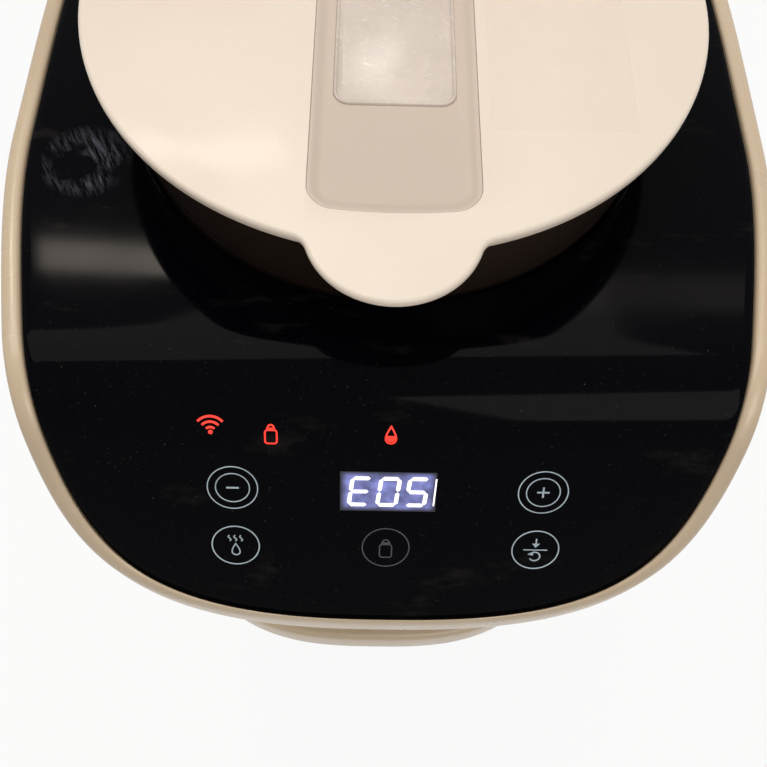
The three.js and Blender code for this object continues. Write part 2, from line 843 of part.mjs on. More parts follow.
function makePowderHouse() {
  const floorTop = houseFloor + houseWall;
  const cup = turned([
    [0, houseFloor],
    [houseBottomRadius, houseFloor],
    [houseTopRadius, houseTop],
    [houseTopRadius - houseWall, houseTop],
    [houseBottomRadius - houseWall, floorTop],
    [0, floorTop],
  ], 0, 0, fineSteps);
  const hingeZ = lidUnderside - lidHingeDrop;
  const ears = [];
  for (const side of [-1, 1]) {
    const inner = side * (hingeBarrelHalf + gap);
    const outer = inner + side * hingeEarWidth;
    const [left, right] = [Math.min(inner, outer), Math.max(inner, outer)];
    const low = hingeZ - hingeBarrelRadius;
    ears.push(box(left, right, houseTopRadius - 2 * houseWall, lidHingeY, low, hingeZ + hingeBarrelRadius));
    ears.push(rodAlongX(hingeBarrelRadius, left, right, lidHingeY, hingeZ));
  }
  const bore = rodAlongX(hingePinRadius + gap, -reach, reach, lidHingeY, hingeZ);
  const inside = disc(houseTopRadius - houseWall, floorTop, reach, 0, 0, fineSteps);
  const topCut = disc(lidRadius + overrun, houseTop, reach, 0, 0, fineSteps);
  const earsOnly = cutBy(joined(ears), [bore, inside, topCut]);
  return cutBy(cup.add(earsOnly), [
    disc(hexRadius + gap + gap, 0, floorTop + gap),
    disc(outletRadius, 0, floorTop + gap, 0, -pocketCircle),
  ]);
}

function makeDosingCover() {
  const low = wheelTop + wheelLift;
  const top = low + coverThickness;
  const outer = disc(houseRadiusAt(low) - houseWall - 2 * gap, low, top, 0, 0, fineSteps);
  const sector = box(-coverHalfWidth, coverHalfWidth, -reach, -coverInner, low, top);
  return outer.intersect(sector);
}

function makeDosingWheel() {
  const wheel = joined([
    disc(wheelRadius, wheelBottom, wheelTop, 0, 0, fineSteps),
    disc(hubRadius, wheelBottom, wheelBottom + hubHeight),
  ]);
  const cutters = [disc(hexRadius + gap, 0, wheelTop - wheelLift, 0, 0, hexSteps)];
  for (let i = 0; i < pocketCount; i++) {
    const turn = (2 * Math.PI * i) / pocketCount - Math.PI / 2;
    cutters.push(
      disc(pocketRadius, 0, wheelTop + overrun, pocketCircle * Math.cos(turn), pocketCircle * Math.sin(turn)),
    );
  }
  return cutBy(wheel, cutters);
}

function makeStirrer() {
  const bottom = stirrerBottom + stirrerArmLift;
  const hubTop = stirrerBottom + stirrerHubHeight;
  const hub = ring(hubRadius + gap, hubRadius + shellWall, stirrerBottom - wheelLift, hubTop);
  const cap = disc(hubRadius + shellWall, wheelBottom + hubHeight + gap, stirrerBottom + stirrerHubHeight);
  const pieces = [hub, cap];
  for (let i = 0; i < stirrerArmCount; i++) {
    const turn = (2 * Math.PI * (i + 0.5)) / stirrerArmCount;
    const arm = new THREE.BoxGeometry(stirrerArmReach - hubRadius - gap, stirrerArmWidth, stirrerArmHeight);
    arm.translate((stirrerArmReach + hubRadius + gap) / 2, 0, bottom + stirrerArmHeight / 2);
    const finger = new THREE.BoxGeometry(stirrerArmWidth, stirrerArmWidth, fingerHeight);
    finger.translate(stirrerArmReach - stirrerArmWidth / 2, 0, bottom + fingerHeight / 2);
    pieces.push(solidOf(arm.rotateZ(turn)), solidOf(finger.rotateZ(turn)));
  }
  return joined(pieces);
}

function makeRotorCap() {
  const bottom = stirrerBottom + stirrerHubHeight + gap;
  return disc(capRadius, bottom, bottom + capHeight);
}

// Round lid plan with the finger tab and the small fillets where they meet.
function lidPlan() {
  const reachOut = lidRadius + tabFillet;
  const reachTab = tabRadius + tabFillet;
  const along = (reachOut ** 2 - reachTab ** 2 + tabCentre ** 2) / (2 * tabCentre);
  const aside = Math.sqrt(reachOut ** 2 - along ** 2);
  const lidAngle = Math.atan2(-along, aside);
  const tabAngle = Math.atan2(-(along - tabCentre), aside);
  return shapeOf([
    ...arc(0, 0, lidRadius, lidAngle, Math.PI - lidAngle, fineSteps),
    ...arc(-aside, -along, tabFillet, -lidAngle, -tabAngle, cornerSteps),
    ...arc(0, -tabCentre, tabRadius, Math.PI - tabAngle, 2 * Math.PI + tabAngle, smallSteps),
    ...arc(aside, -along, tabFillet, Math.PI + tabAngle, Math.PI + lidAngle, cornerSteps),
  ]);
}

function stripPlan(inset) {
  return roundedRectangle(
    -stripHalfWidth + inset, stripHalfWidth - inset, -stripFront + inset, stripFront - inset,
    stripCorner - inset,
  );
}

function windowPlan(inset) {
  return roundedRectangle(
    -windowHalfWidth + inset, windowHalfWidth - inset, -windowFront + inset, windowFront - inset,
    windowCorner - inset,
  );
}

function makePowderLid() {
  const tabBottom = lidTop - tabThickness;
  const hingeZ = lidUnderside - lidHingeDrop;
  const plate = prism(lidPlan(), tabBottom, lidTop);
  const flange = disc(lidRadius, lidUnderside, tabBottom + gap, 0, 0, fineSteps);
  const plugBottom = lidUnderside - plugDepth;
  const plug = ring(plugRadius - plugWall, plugRadius, plugBottom, lidUnderside + gap, 0, 0, fineSteps);
  const knuckle = cutBy(
    joined([
      rodAlongX(hingeBarrelRadius, -hingeBarrelHalf, hingeBarrelHalf, lidHingeY, hingeZ),
      box(-hingeBarrelHalf, hingeBarrelHalf, lidRadius - houseWall, lidHingeY, hingeZ, lidTop - gap),
    ]),
    [disc(houseTopRadius + gap, 0, lidUnderside, 0, 0, fineSteps)],
  );
  const body = joined([plate, flange, plug, knuckle]);
  return cutBy(body, [
    rodAlongX(hingePinRadius + gap, -reach, reach, lidHingeY, hingeZ),
    prism(stripPlan(0), lidTop - stripSink - stripThickness - gap, reach),
    prism(windowPlan(0), 0, reach),
  ]);
}

function makeLidStrip() {
  const top = lidTop - stripSink;
  return prism(stripPlan(gap), top - stripThickness, top).subtract(prism(windowPlan(0), 0, reach));
}

function makeLidWindow() {
  const top = lidTop - stripSink + windowRise;
  const middle = prism(windowPlan(gap), top - windowRise - windowThickness, top);
  const hollow = prism(windowPlan(gap + windowThickness), top - windowRise, top + overrun);
  return middle.subtract(hollow);
}

function makeLidSeal() {
  const top = lidUnderside - sealDrop;
  const outer = houseRadiusAt(top - sealHeight) - houseWall - gap;
  return ring(plugRadius + gap, outer, top - sealHeight, top, 0, 0, fineSteps);
}

// Funnel side

function makePowderChute() {
  return ring(chuteRadius, chuteRadius + chuteWall, chuteBottom, bayFloor - gap, 0, -pocketCircle);
}

function makeMixingFunnel() {
  const neckTop = funnelTop - funnelDepth;
  return turned([
    [funnelTopRadius - funnelWall, funnelTop],
    [funnelOutlet - funnelWall, neckTop],
    [funnelOutlet - funnelWall, neckTop - funnelSpout],
    [funnelOutlet, neckTop - funnelSpout],
    [funnelOutlet, neckTop],
    [funnelTopRadius, funnelTop - funnelFlange],
    [funnelFlangeRadius, funnelTop - funnelFlange],
    [funnelFlangeRadius, funnelTop],
    [funnelTopRadius - funnelWall, funnelTop],
  ], 0, -funnelCentre);
}

function makeFunnelHolder() {
  const top = holderBottom + holderThickness;
  const plate = box(-holderHalfWidth, holderHalfWidth, -holderFront, -holderBack, holderBottom, top);
  const grip = prism(
    roundedRectangle(
      -holderHalfWidth, holderHalfWidth, -holderFront - holderGripThickness, -holderFront + gap,
      holderGripThickness / 2,
    ),
    top - holderGripHeight, top + funnelFlange,
  );
  const hole = disc(funnelTopRadius + 2 * gap, 0, reach, 0, -funnelCentre);
  return plate.add(grip).subtract(hole);
}

// Runner for the holder's right edge, its own frame at the holder's edge; side is 1 or -1.
function makeRunner(side) {
  const edge = holderHalfWidth + gap;
  const footBottom = holderBottom - gap - runnerFootThickness;
  const web = box(edge, edge + runnerWeb, -holderFront + gap, -holderBack, footBottom, headBottom);
  const foot = box(
    edge - runnerFoot, edge + gap, -holderFront + gap + runnerWeb, -holderBack,
    footBottom, holderBottom - gap,
  );
  const right = web.add(foot);
  return side > 0 ? right : mirroredX(right);
}

function mirroredX(solid) {
  const made = solid.getMesh();
  const positions = Float32Array.from(made.vertProperties, (value, i) => (i % 3 === 0 ? -value : value));
  const geometry = new THREE.BufferGeometry();
  geometry.setAttribute("position", new THREE.BufferAttribute(positions, 3));
  geometry.setIndex(Array.from(made.triVerts));
  return solidOf(geometry);
}

function makeWaterNozzle() {
  const bottom = headBottom - nozzleDrop;
  const collarBottom = undersideTop + gap;
  const collarTop = collarBottom + boardThickness;
  const body = joined([
    disc(nozzleRadius, bottom, bayFloor - gap, nozzleX, -nozzleY, smallSteps),
    disc(nozzleRadius + nozzleCollar, collarBottom, collarTop, nozzleX, -nozzleY, smallSteps),
    rodAlongX(barbRadius, nozzleX, nozzleX + nozzleRadius + barbLength, -nozzleY, nozzleHoseZ),
  ]);
  return body.subtract(disc(barbRadius / 2, 0, bottom + nozzleDrop, nozzleX, -nozzleY, smallSteps));
}

function makeBottleSensor() {
  const front = -columnFront;
  return joined([
    rodAlongY(sensorLensRadius, front - gap, front + sensorLensLength, 0, sensorHeight, roundSteps),
    rodAlongY(
      sensorLensRadius + shellWall, front + shellWall + gap, front + sensorLensLength,
      0, sensorHeight, roundSteps,
    ),
  ]);
}

function makeDripTray() {
  const bottom = baseTop - trayDepth + gap;
  const top = baseTop - gridThickness;
  return prism(trayShape(0), bottom, top).subtract(prism(trayShape(-trayWall), bottom + trayWall, reach));
}

function makeDripGrid() {
  const bottom = baseTop - gridThickness + gap;
  const plate = prism(trayShape(0), bottom, baseTop + gap);
  const slots = [];
  const middle = -(trayFront + trayBack) / 2;
  const halfLength = (trayFront - trayBack) / 2 - trayCorner / 2;
  for (const side of [-1, 1]) {
    for (let i = 0; i < gridSlotCount; i++) {
      const x = side * (gridPad + gridSlotWidth + i * gridSlotPitch);
      const half = gridSlotWidth / 2;
      slots.push(
        prism(
          roundedRectangle(x - half, x + half, middle - halfLength, middle + halfLength, half - gap), 0, reach,
        ),
      );
    }
  }
  return cutBy(plate, slots);
}

// Water side

function tankBody(offset, bottom, top, front) {
  return bodyLoft(offset, bottom, top).intersect(box(-reach, reach, front, reach, 0, reach));
}

function makeWaterTank() {
  const outer = tankBody(rimOffset, tankBottom, tankTop, tankFront);
  const inner = outlinePrism(rimOffset - tankWall, tankBottom + tankFloor, reach).intersect(
    box(-reach, reach, tankFront + tankWall, reach, 0, reach),
  );
  const hingeZ = tankTop + gap + tankLidThickness / 2;
  const ears = [];
  for (const side of [-1, 1]) {
    const left = side > 0 ? tankEarX : -tankEarX - tankEarWidth;
    const right = left + tankEarWidth;
    ears.push(box(
      left, right, tankHingeY - hingeBarrelRadius, tankHingeY + hingeBarrelRadius, tankTop - overrun, hingeZ,
    ));
    ears.push(rodAlongX(hingeBarrelRadius, left, right, tankHingeY, hingeZ));
  }
  const bridge = box(
    -tankEarX - tankEarWidth, tankEarX + tankEarWidth, tankHingeY - hingeBarrelRadius,
    panelHalfLength + gap, tankTop - overrun, tankTop - overrun / 2,
  );
  const spout = disc(spoutRadius, spoutBottom, tankBottom + gap, 0, spoutY);
  const rodTop = tankBottom + tankFloor + floatRodHeight;
  const rod = disc(floatRodRadius, tankBottom, rodTop, floatX, spoutY, smallSteps);
  const head = disc(floatRodHead, rodTop - tankFloor, rodTop, floatX, spoutY, smallSteps);
  const shell = joined([outer.subtract(inner), ...ears, bridge, spout, rod, head]);
  return cutBy(shell, [
    disc(spoutRadius - spoutWall, 0, tankBottom + tankFloor + gap, 0, spoutY),
    rodAlongX(hingePinRadius + gap, -tankEarX - overrun, tankEarX + overrun, tankHingeY, hingeZ),
  ]);
}

function makeTankLid() {
  const bottom = tankTop + gap;
  const top = bottom + tankLidThickness;
  const hingeZ = bottom + tankLidThickness / 2;
  const back = tankHingeY - hingeBarrelRadius - 2 * gap;
  const half = tankEarX - gap;
  const span = box(-reach, reach, -reach, back, 0, reach);
  const plate = tankBody(rimOffset, bottom, top, tankFront).intersect(span);
  const skirtSpan = box(-reach, reach, tankFront + tankWall + tankSkirtPlay, back - overrun, 0, reach);
  const hollowSpan = box(
    -reach, reach, tankFront + tankWall + tankSkirtPlay + tankSkirtWall, back - overrun - tankSkirtWall,
    0, reach,
  );
  const skirtOuter = outlinePrism(rimOffset - tankWall - 2 * gap, tankTop - tankSkirtDepth, bottom + gap);
  const skirtInner = outlinePrism(rimOffset - tankWall - 2 * gap - tankSkirtWall, 0, bottom);
  const skirt = skirtOuter.intersect(skirtSpan).subtract(skirtInner.intersect(hollowSpan));
  const barrel = joined([
    rodAlongX(hingeBarrelRadius - gap, -half, half, tankHingeY, hingeZ),
    box(-half, half, back - gap, tankHingeY, hingeZ - hingePinRadius, hingeZ + hingePinRadius),
  ]);
  const ridge = box(
    -tankRidgeHalf, tankRidgeHalf, tankFront + tankRidgeDepth, tankFront + 2 * tankRidgeDepth,
    bottom, top + tankRidgeHeight,
  );
  const bore = rodAlongX(hingePinRadius + gap, -reach, reach, tankHingeY, hingeZ);
  return joined([plate, skirt, barrel, ridge]).subtract(bore);
}

function makeTankFloat() {
  const bottom = tankBottom + tankFloor + floatRest;
  return ring(floatRodRadius + gap + gap, floatRadius, bottom, bottom + floatHeight, floatX, spoutY);
}

function makeValvePlunger() {
  const seat = tankBottom + tankFloor + gap;
  return joined([
    disc(plungerRadius, seat, seat + plungerThickness, 0, spoutY),
    disc(plungerStem, spoutBottom + gap, seat + plungerThickness + plungerTop, 0, spoutY, smallSteps),
  ]);
}

function makeValveCage() {
  const bottom = tankBottom + tankFloor + gap;
  const top = bottom + cageHeight;
  const cup = turned([
    [cageRadius - cageWall, bottom],
    [cageRadius, bottom],
    [cageRadius, top],
    [plungerStem + gap, top],
    [plungerStem + gap, top - cageWall],
    [cageRadius - cageWall, top - cageWall],
    [cageRadius - cageWall, bottom],
  ], 0, spoutY);
  const low = bottom + cageWall;
  const high = top - 2 * cageWall;
  const half = cageRadius / 2;
  return cutBy(cup, [
    box(-half, half, spoutY - reach, spoutY + reach, low, high),
    box(-reach, reach, spoutY - half, spoutY + half, low, high),
  ]);
}

class SpringCurve extends THREE.Curve {
  constructor(bottom, top) {
    super();
    this.bottom = bottom;
    this.top = top;
  }
  getPoint(t, target = new THREE.Vector3()) {
    const turn = 2 * Math.PI * springTurns * t;
    const z = this.bottom + (this.top - this.bottom) * t;
    return target.set(springRadius * Math.cos(turn), spoutY + springRadius * Math.sin(turn), z);
  }
}

function makeValveSpring() {
  const bottom = tankBottom + tankFloor + gap + plungerThickness + springWire + gap;
  const top = tankBottom + tankFloor + gap + cageHeight - cageWall - springWire - gap;
  const section = new THREE.Shape();
  section.absarc(0, 0, springWire, 0, 2 * Math.PI);
  const geometry = new THREE.ExtrudeGeometry(section, {
    steps: springTurns * springStepsPerTurn,
    curveSegments: cornerSteps,
    extrudePath: new SpringCurve(bottom, top),
    bevelEnabled: false,
  });
  return solidOf(geometry);
}

function makeDockSocket() {
  const top = tankDeck - gap;
  const bottom = top - dockDepth;
  const flangeTop = deckSlabBottom - gap;
  return joined([
    turned([
      [0, bottom],
      [dockRadius, bottom],
      [dockRadius, flangeTop - dockWall],
      [dockRadius + dockFlange, flangeTop - dockWall],
      [dockRadius + dockFlange, flangeTop],
      [dockRadius, flangeTop],
      [dockRadius, top],
      [dockRadius - dockWall, top],
      [dockRadius - dockWall, bottom + dockWall],
      [0, bottom + dockWall],
    ], 0, spoutY),
    disc(dockPinRadius, bottom, spoutBottom - gap, 0, spoutY, smallSteps),
    disc(dockBarbRadius, bottom - dockBarbLength, bottom + gap, 0, spoutY, smallSteps),
  ]);
}

function makeDockSeal() {
  const bottom = tankDeck - gap - dockDepth + dockWall + 2 * dockSealHeight;
  return ring(spoutRadius + gap, dockRadius - dockWall - gap, bottom, bottom + dockSealHeight, 0, spoutY);
}

function makeWaterPump() {
  const back = pumpY + pumpLength / 2;
  const front = pumpY - pumpLength / 2;
  const floor = baseTop + gap;
  const axis = floor + pumpAxisLift;
  return joined([
    rodAlongY(pumpRadius, front, back, pumpX, axis, roundSteps),
    box(pumpX - pumpFootHalf, pumpX + pumpFootHalf, pumpY - pumpFootHalf, pumpY + pumpFootHalf, floor, axis),
    rodAlongY(barbRadius, back - gap, back + barbLength, pumpX, axis),
    disc(barbRadius, axis, axis + pumpRadius + barbLength, pumpX, pumpOutletY, smallSteps),
  ]);
}

function makeHeaterBlock() {
  const floor = baseTop + gap;
  const top = floor + heaterHeight;
  return joined([
    disc(heaterRadius, floor, top, heaterX, heaterY),
    disc(heaterRadius + shellWall, floor, floor + shellWall, heaterX, heaterY),
    disc(barbRadius, top - gap, top + barbLength, heaterX, heaterY, smallSteps),
    rodAlongX(barbRadius, heaterX - heaterRadius - barbLength, heaterX, heaterY, floor + heaterInletLift),
  ]);
}

function makeTemperatureSensor() {
  const left = heaterX + heaterRadius + gap;
  const low = baseTop + gap + sensorLift;
  const front = heaterY - sensorSize / 2;
  return box(left, left + sensorSize, front, front + sensorSize, low, low + sensorSize);
}

// Routes of the three hoses; each list starts and ends a gap away from the barbs that it joins.
const hoseRiseGap = 14;
const hoseRiseY = pumpY + pumpLength / 2 + barbLength + hoseRiseGap;
const pumpOutletY = pumpY - pumpLength / 4;
const heaterInletLift = 14;
const deckHoseInset = 20;
const deckHoseX = panelHalfWidth - deckHoseInset;
const deckHoseY = 8;
const nozzleHoseZ = 218.3;

function dockHoseRoute() {
  const start = tankDeck - gap - dockDepth - dockBarbLength - gap;
  const axis = baseTop + gap + pumpAxisLift;
  const pumpEnd = pumpY + pumpLength / 2 + barbLength + gap;
  return [
    [0, spoutY, start],
    [0, spoutY, start - hoseRadius],
    [-hoseRadius, spoutY - hoseRadius, hoseLevel + gap],
    [pumpX / 2, (spoutY + hoseRiseY) / 2, hoseLevel],
    [pumpX + hoseRadius / 2, hoseRiseY + hoseRadius / 2, hoseLevel + gap],
    [pumpX, hoseRiseY, baseTop],
    [pumpX, hoseRiseY - hoseRadius / 2, axis - 2 * hoseRadius],
    [pumpX, pumpEnd + 2 * hoseRadius, axis],
    [pumpX, pumpEnd, axis],
  ];
}

function pumpHoseRoute() {
  const start = baseTop + gap + pumpAxisLift + pumpRadius + barbLength + gap;
  const end = baseTop + gap + heaterInletLift;
  const rise = 3 * hoseRadius;
  return [
    [pumpX, pumpOutletY, start],
    [pumpX, pumpOutletY, start + hoseRadius],
    [pumpX + rise, pumpOutletY, start + rise],
    [0, heaterY - hoseRadius, start],
    [heaterX - heaterRadius - barbLength - rise, heaterY, end + hoseRadius],
    [heaterX - heaterRadius - barbLength - hoseRadius, heaterY, end],
    [heaterX - heaterRadius - barbLength - gap, heaterY, end],
  ];
}

function nozzleHoseRoute() {
  const start = baseTop + gap + heaterHeight + barbLength + gap;
  const end = nozzleX + nozzleRadius + barbLength + gap;
  return [
    [heaterX, heaterY, start],
    [heaterX, heaterY, start + hoseRadius],
    [(heaterX + deckHoseX) / 2, (heaterY + deckHoseY) / 2, start + 6 * hoseRadius],
    [deckHoseX, deckHoseY, deckBottom - 5 * hoseRadius],
    [deckHoseX, deckHoseY, deckTop],
    [deckHoseX, deckHoseY - 3 * hoseRadius, nozzleHoseZ],
    [deckHoseX - hoseRadius, -columnFront - hoseRadius, nozzleHoseZ],
    [(deckHoseX + end) / 2, -nozzleY + 3 * hoseRadius, nozzleHoseZ],
    [end + 3 * hoseRadius, -nozzleY, nozzleHoseZ],
    [end, -nozzleY, nozzleHoseZ],
  ];
}

// Electrics

function makePowerBoard() {
  const back = rearPanelBack - shellWall - gap;
  const face = back - standoffLength - boardThickness;
  const top = powerBoardBottom + powerBoardHeight;
  const inset = 2 * standoffRadius;
  const pieces = [
    box(-powerBoardHalf, powerBoardHalf, face, face + boardThickness, powerBoardBottom, top),
    box(-powerBoardHalf / 2, -powerBoardHalf / 2 + transformerSize, face - transformerSize / 2, face + gap,
      powerBoardBottom + inset, powerBoardBottom + inset + transformerSize),
    rodAlongY(transformerSize / 4, face - transformerSize / 2, face + gap, powerBoardHalf / 2,
      powerBoardBottom + transformerSize),
  ];
  for (const x of [-powerBoardHalf + inset, powerBoardHalf - inset]) {
    for (const z of [powerBoardBottom + inset, top - inset]) {
      pieces.push(rodAlongY(standoffRadius, face + boardThickness / 2, back, x, z));
    }
  }
  return joined(pieces);
}

// The control board and display lie in the slope's own frame: X across, Y up the slope, Z out of it.
function makeControlBoard() {
  const top = -panelThickness - controlBoardDepth;
  const pieces = [
    box(-controlBoardHalf, controlBoardHalf, -controlBoardLow, controlBoardHigh, top - boardThickness, top),
  ];
  for (const x of [-controlBoardHalf + overrun, controlBoardHalf - overrun]) {
    for (const y of [0, controlBoardHigh - overrun]) {
      pieces.push(disc(standoffRadius, top - gap, -panelThickness - gap, x, y, smallSteps));
    }
  }
  return joined(pieces);
}

function makeDisplayModule() {
  const half = displayHeight / 2;
  return box(
    -displayHalfWidth, displayHalfWidth, displayLift - half, displayLift + half,
    -panelThickness - controlBoardDepth + gap, -panelThickness - gap,
  );
}

function makePowerInlet() {
  const middle = inletLow + inletHeight / 2;
  const block = box(
    inletX - inletWidth / 2, inletX + inletWidth / 2, inletFace - inletDepth, inletFace,
    inletLow, inletLow + inletHeight,
  );
  const socket = box(
    inletX - socketWidth / 2, inletX + socketWidth / 2, inletFace - socketDepth, inletFace + overrun,
    middle - socketHeight / 2, middle + socketHeight / 2,
  );
  const pins = [-1, 1].map((side) =>
    rodAlongY(
      inletPinRadius, inletFace - socketDepth - gap, inletFace - socketDepth / 3,
      inletX + (side * inletPinSpacing) / 2, middle,
    ),
  );
  return joined([block.subtract(socket), ...pins]);
}

function makeSwitchFrame() {
  const block = box(
    -inletX - inletWidth / 2, -inletX + inletWidth / 2, inletFace - inletDepth, inletFace,
    inletLow, inletLow + inletHeight,
  );
  const well = box(
    -inletX - inletWidth / 2 + switchWall, -inletX + inletWidth / 2 - switchWall,
    inletFace - inletDepth + switchWall, inletFace + overrun,
    inletLow + switchWall, inletLow + inletHeight - switchWall,
  );
  return block.subtract(well);
}

// Rocker about its own pivot, with the face's two halves meeting in a shallow V, tipped to one side.
function makeRocker() {
  const half = inletHeight / 2 - switchWall - 3 * gap;
  const width = inletWidth / 2 - switchWall - gap;
  const rise = half * Math.tan(rockerTilt);
  const profile = shapeOf([
    [-rockerDepth, -half / 2],
    [rockerDepth - rise / 2, -half],
    [rockerDepth - rise, 0],
    [rockerDepth - rise / 2, half],
    [-rockerDepth, half / 2],
  ]);
  return across(profile, -width, width);
}

// Assembly

function build() {
  const machine = new THREE.Group();

  addMesh(machine, "base_shell", makeBaseShell(), cream);
  addMesh(machine, "base_plate", makeBasePlate(), darkPlastic);
  const feet = [
    [-footFrontX, -footFrontY], [footFrontX, -footFrontY], [-footBackX, footBackY], [footBackX, footBackY],
  ];
  feet.forEach(([x, y], i) => {
    const foot = addMesh(machine, "foot_" + (i + 1), disc(footRadius, 0, footHeight), rubberGrey);
    foot.position.set(x, y, 0);
  });
  addMesh(machine, "column_shell", makeColumnShell(), cream);
  addMesh(machine, "head_shell", makeHeadShell(), cream);
  addMesh(machine, "rear_panel", makeRearPanel(), darkPlastic);
  addMesh(machine, "head_underside", makeHeadUnderside(), darkPlastic);
  addMesh(machine, "top_panel", makeTopPanel(), blackGloss);
  addMesh(machine, "top_rim", makeTopRim(), cream);
  addMesh(machine, "powder_bay", makePowderBay(), darkPlastic);

  const drive = addGroup(machine, 0, 0, 0);
  addMesh(drive, "support_deck", makeSupportDeck(), whitePlastic);
  addMesh(drive, "gear_motor", makeGearMotor(), steel);
  addMesh(drive, "drive_gear", makeDriveGear(), whitePlastic);
  const pinion = addMesh(drive, "motor_pinion", makePinion(), whitePlastic);
  pinion.position.y = gearDistance;
  pinion.rotation.z = -Math.PI / 2 - ((0.5 - gearTeeth / 4) * 2 * Math.PI) / pinionTeeth;

  const powder = addGroup(machine, 0, 0, 0);
  addMesh(powder, "powder_house", makePowderHouse(), smoke);
  addMesh(powder, "dosing_cover", makeDosingCover(), whitePlastic);
  addMesh(powder, "dosing_wheel", makeDosingWheel(), whitePlastic);
  addMesh(powder, "stirrer", makeStirrer(), whitePlastic);
  addMesh(powder, "rotor_cap", makeRotorCap(), greyInsert);
  const hingeZ = lidUnderside - lidHingeDrop;
  const pinHalf = hingeBarrelHalf + hingeEarWidth;
  addMesh(powder, "lid_hinge_pin", rodAlongX(hingePinRadius, -pinHalf, pinHalf, lidHingeY, hingeZ), steel);
  addMesh(powder, "powder_lid", makePowderLid(), lidWhite);
  addMesh(powder, "lid_strip", makeLidStrip(), greyInsert);
  addMesh(powder, "lid_window", makeLidWindow(), clear);
  addMesh(powder, "lid_seal", makeLidSeal(), rubberGrey);

  addMesh(machine, "powder_chute", makePowderChute(), whitePlastic);
  addMesh(machine, "water_nozzle", makeWaterNozzle(), whitePlastic);
  addMesh(machine, "runner_left", makeRunner(-1), darkPlastic);
  addMesh(machine, "runner_right", makeRunner(1), darkPlastic);
  const funnel = addGroup(machine, 0, 0, 0);
  addMesh(funnel, "mixing_funnel", makeMixingFunnel(), clear);
  addMesh(funnel, "funnel_holder", makeFunnelHolder(), cream);
  addMesh(machine, "bottle_sensor", makeBottleSensor(), blackGloss);
  addMesh(machine, "drip_tray", makeDripTray(), darkPlastic);
  addMesh(machine, "drip_grid", makeDripGrid(), greyInsert);

  const tank = addGroup(machine, 0, 0, 0);
  addMesh(tank, "water_tank", makeWaterTank(), clear);
  addMesh(tank, "tank_lid", makeTankLid(), smoke);
  const tankPinZ = tankTop + gap + tankLidThickness / 2;
  const tankPinHalf = tankEarX + tankEarWidth;
  const tankPin = rodAlongX(hingePinRadius, -tankPinHalf, tankPinHalf, tankHingeY, tankPinZ);
  addMesh(tank, "tank_hinge_pin", tankPin, steel);
  addMesh(tank, "tank_float", makeTankFloat(), whitePlastic);
  addMesh(tank, "valve_plunger", makeValvePlunger(), whitePlastic);
  addMesh(tank, "valve_spring", makeValveSpring(), steel);
  addMesh(tank, "valve_cage", makeValveCage(), whitePlastic);

  addMesh(machine, "dock_socket", makeDockSocket(), whitePlastic);
  addMesh(machine, "dock_seal", makeDockSeal(), rubberGrey);
  addMesh(machine, "water_pump", makeWaterPump(), darkPlastic);
  addMesh(machine, "heater_block", makeHeaterBlock(), steel);
  addMesh(machine, "temperature_sensor", makeTemperatureSensor(), darkPlastic);
  addMesh(machine, "hose_dock_pump", hose(dockHoseRoute()), siliconeHose);
  addMesh(machine, "hose_pump_heater", hose(pumpHoseRoute()), siliconeHose);
  addMesh(machine, "hose_heater_nozzle", hose(nozzleHoseRoute()), siliconeHose);

  addMesh(machine, "power_board", makePowerBoard(), boardGreen);
  const slope = addGroup(machine, 0, -milkKeyY, milkKeyZ);
  slope.rotation.x = slopeAngle;
  addMesh(slope, "control_board", makeControlBoard(), boardGreen);
  addMesh(slope, "display_module", makeDisplayModule(), darkPlastic);
  addMesh(machine, "power_inlet", makePowerInlet(), darkPlastic);
  addMesh(machine, "switch_frame", makeSwitchFrame(), darkPlastic);
  const rocker = addMesh(machine, "rocker_switch", makeRocker(), blackGloss);
  rocker.position.set(-inletX, inletFace - rockerDepth, inletLow + inletHeight / 2);
  rocker.rotation.x = rockerTilt;
  return machine;
}

export default build();
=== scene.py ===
# %% [markdown]
# # A baby formula maker, piece by piece
#
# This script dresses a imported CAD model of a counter-top formula maker. The CAD gives every
# piece its place and its joints. Here the pieces that show get smooth curved surfaces,
# rounded edges, printed marks and materials, and then a camera and lights like those of a
# studio photograph. Each step says first what the piece is and why it is made this way.

import json
import math

import bmesh
import bpy
import numpy as np
from mathutils import Matrix, Quaternion, Vector

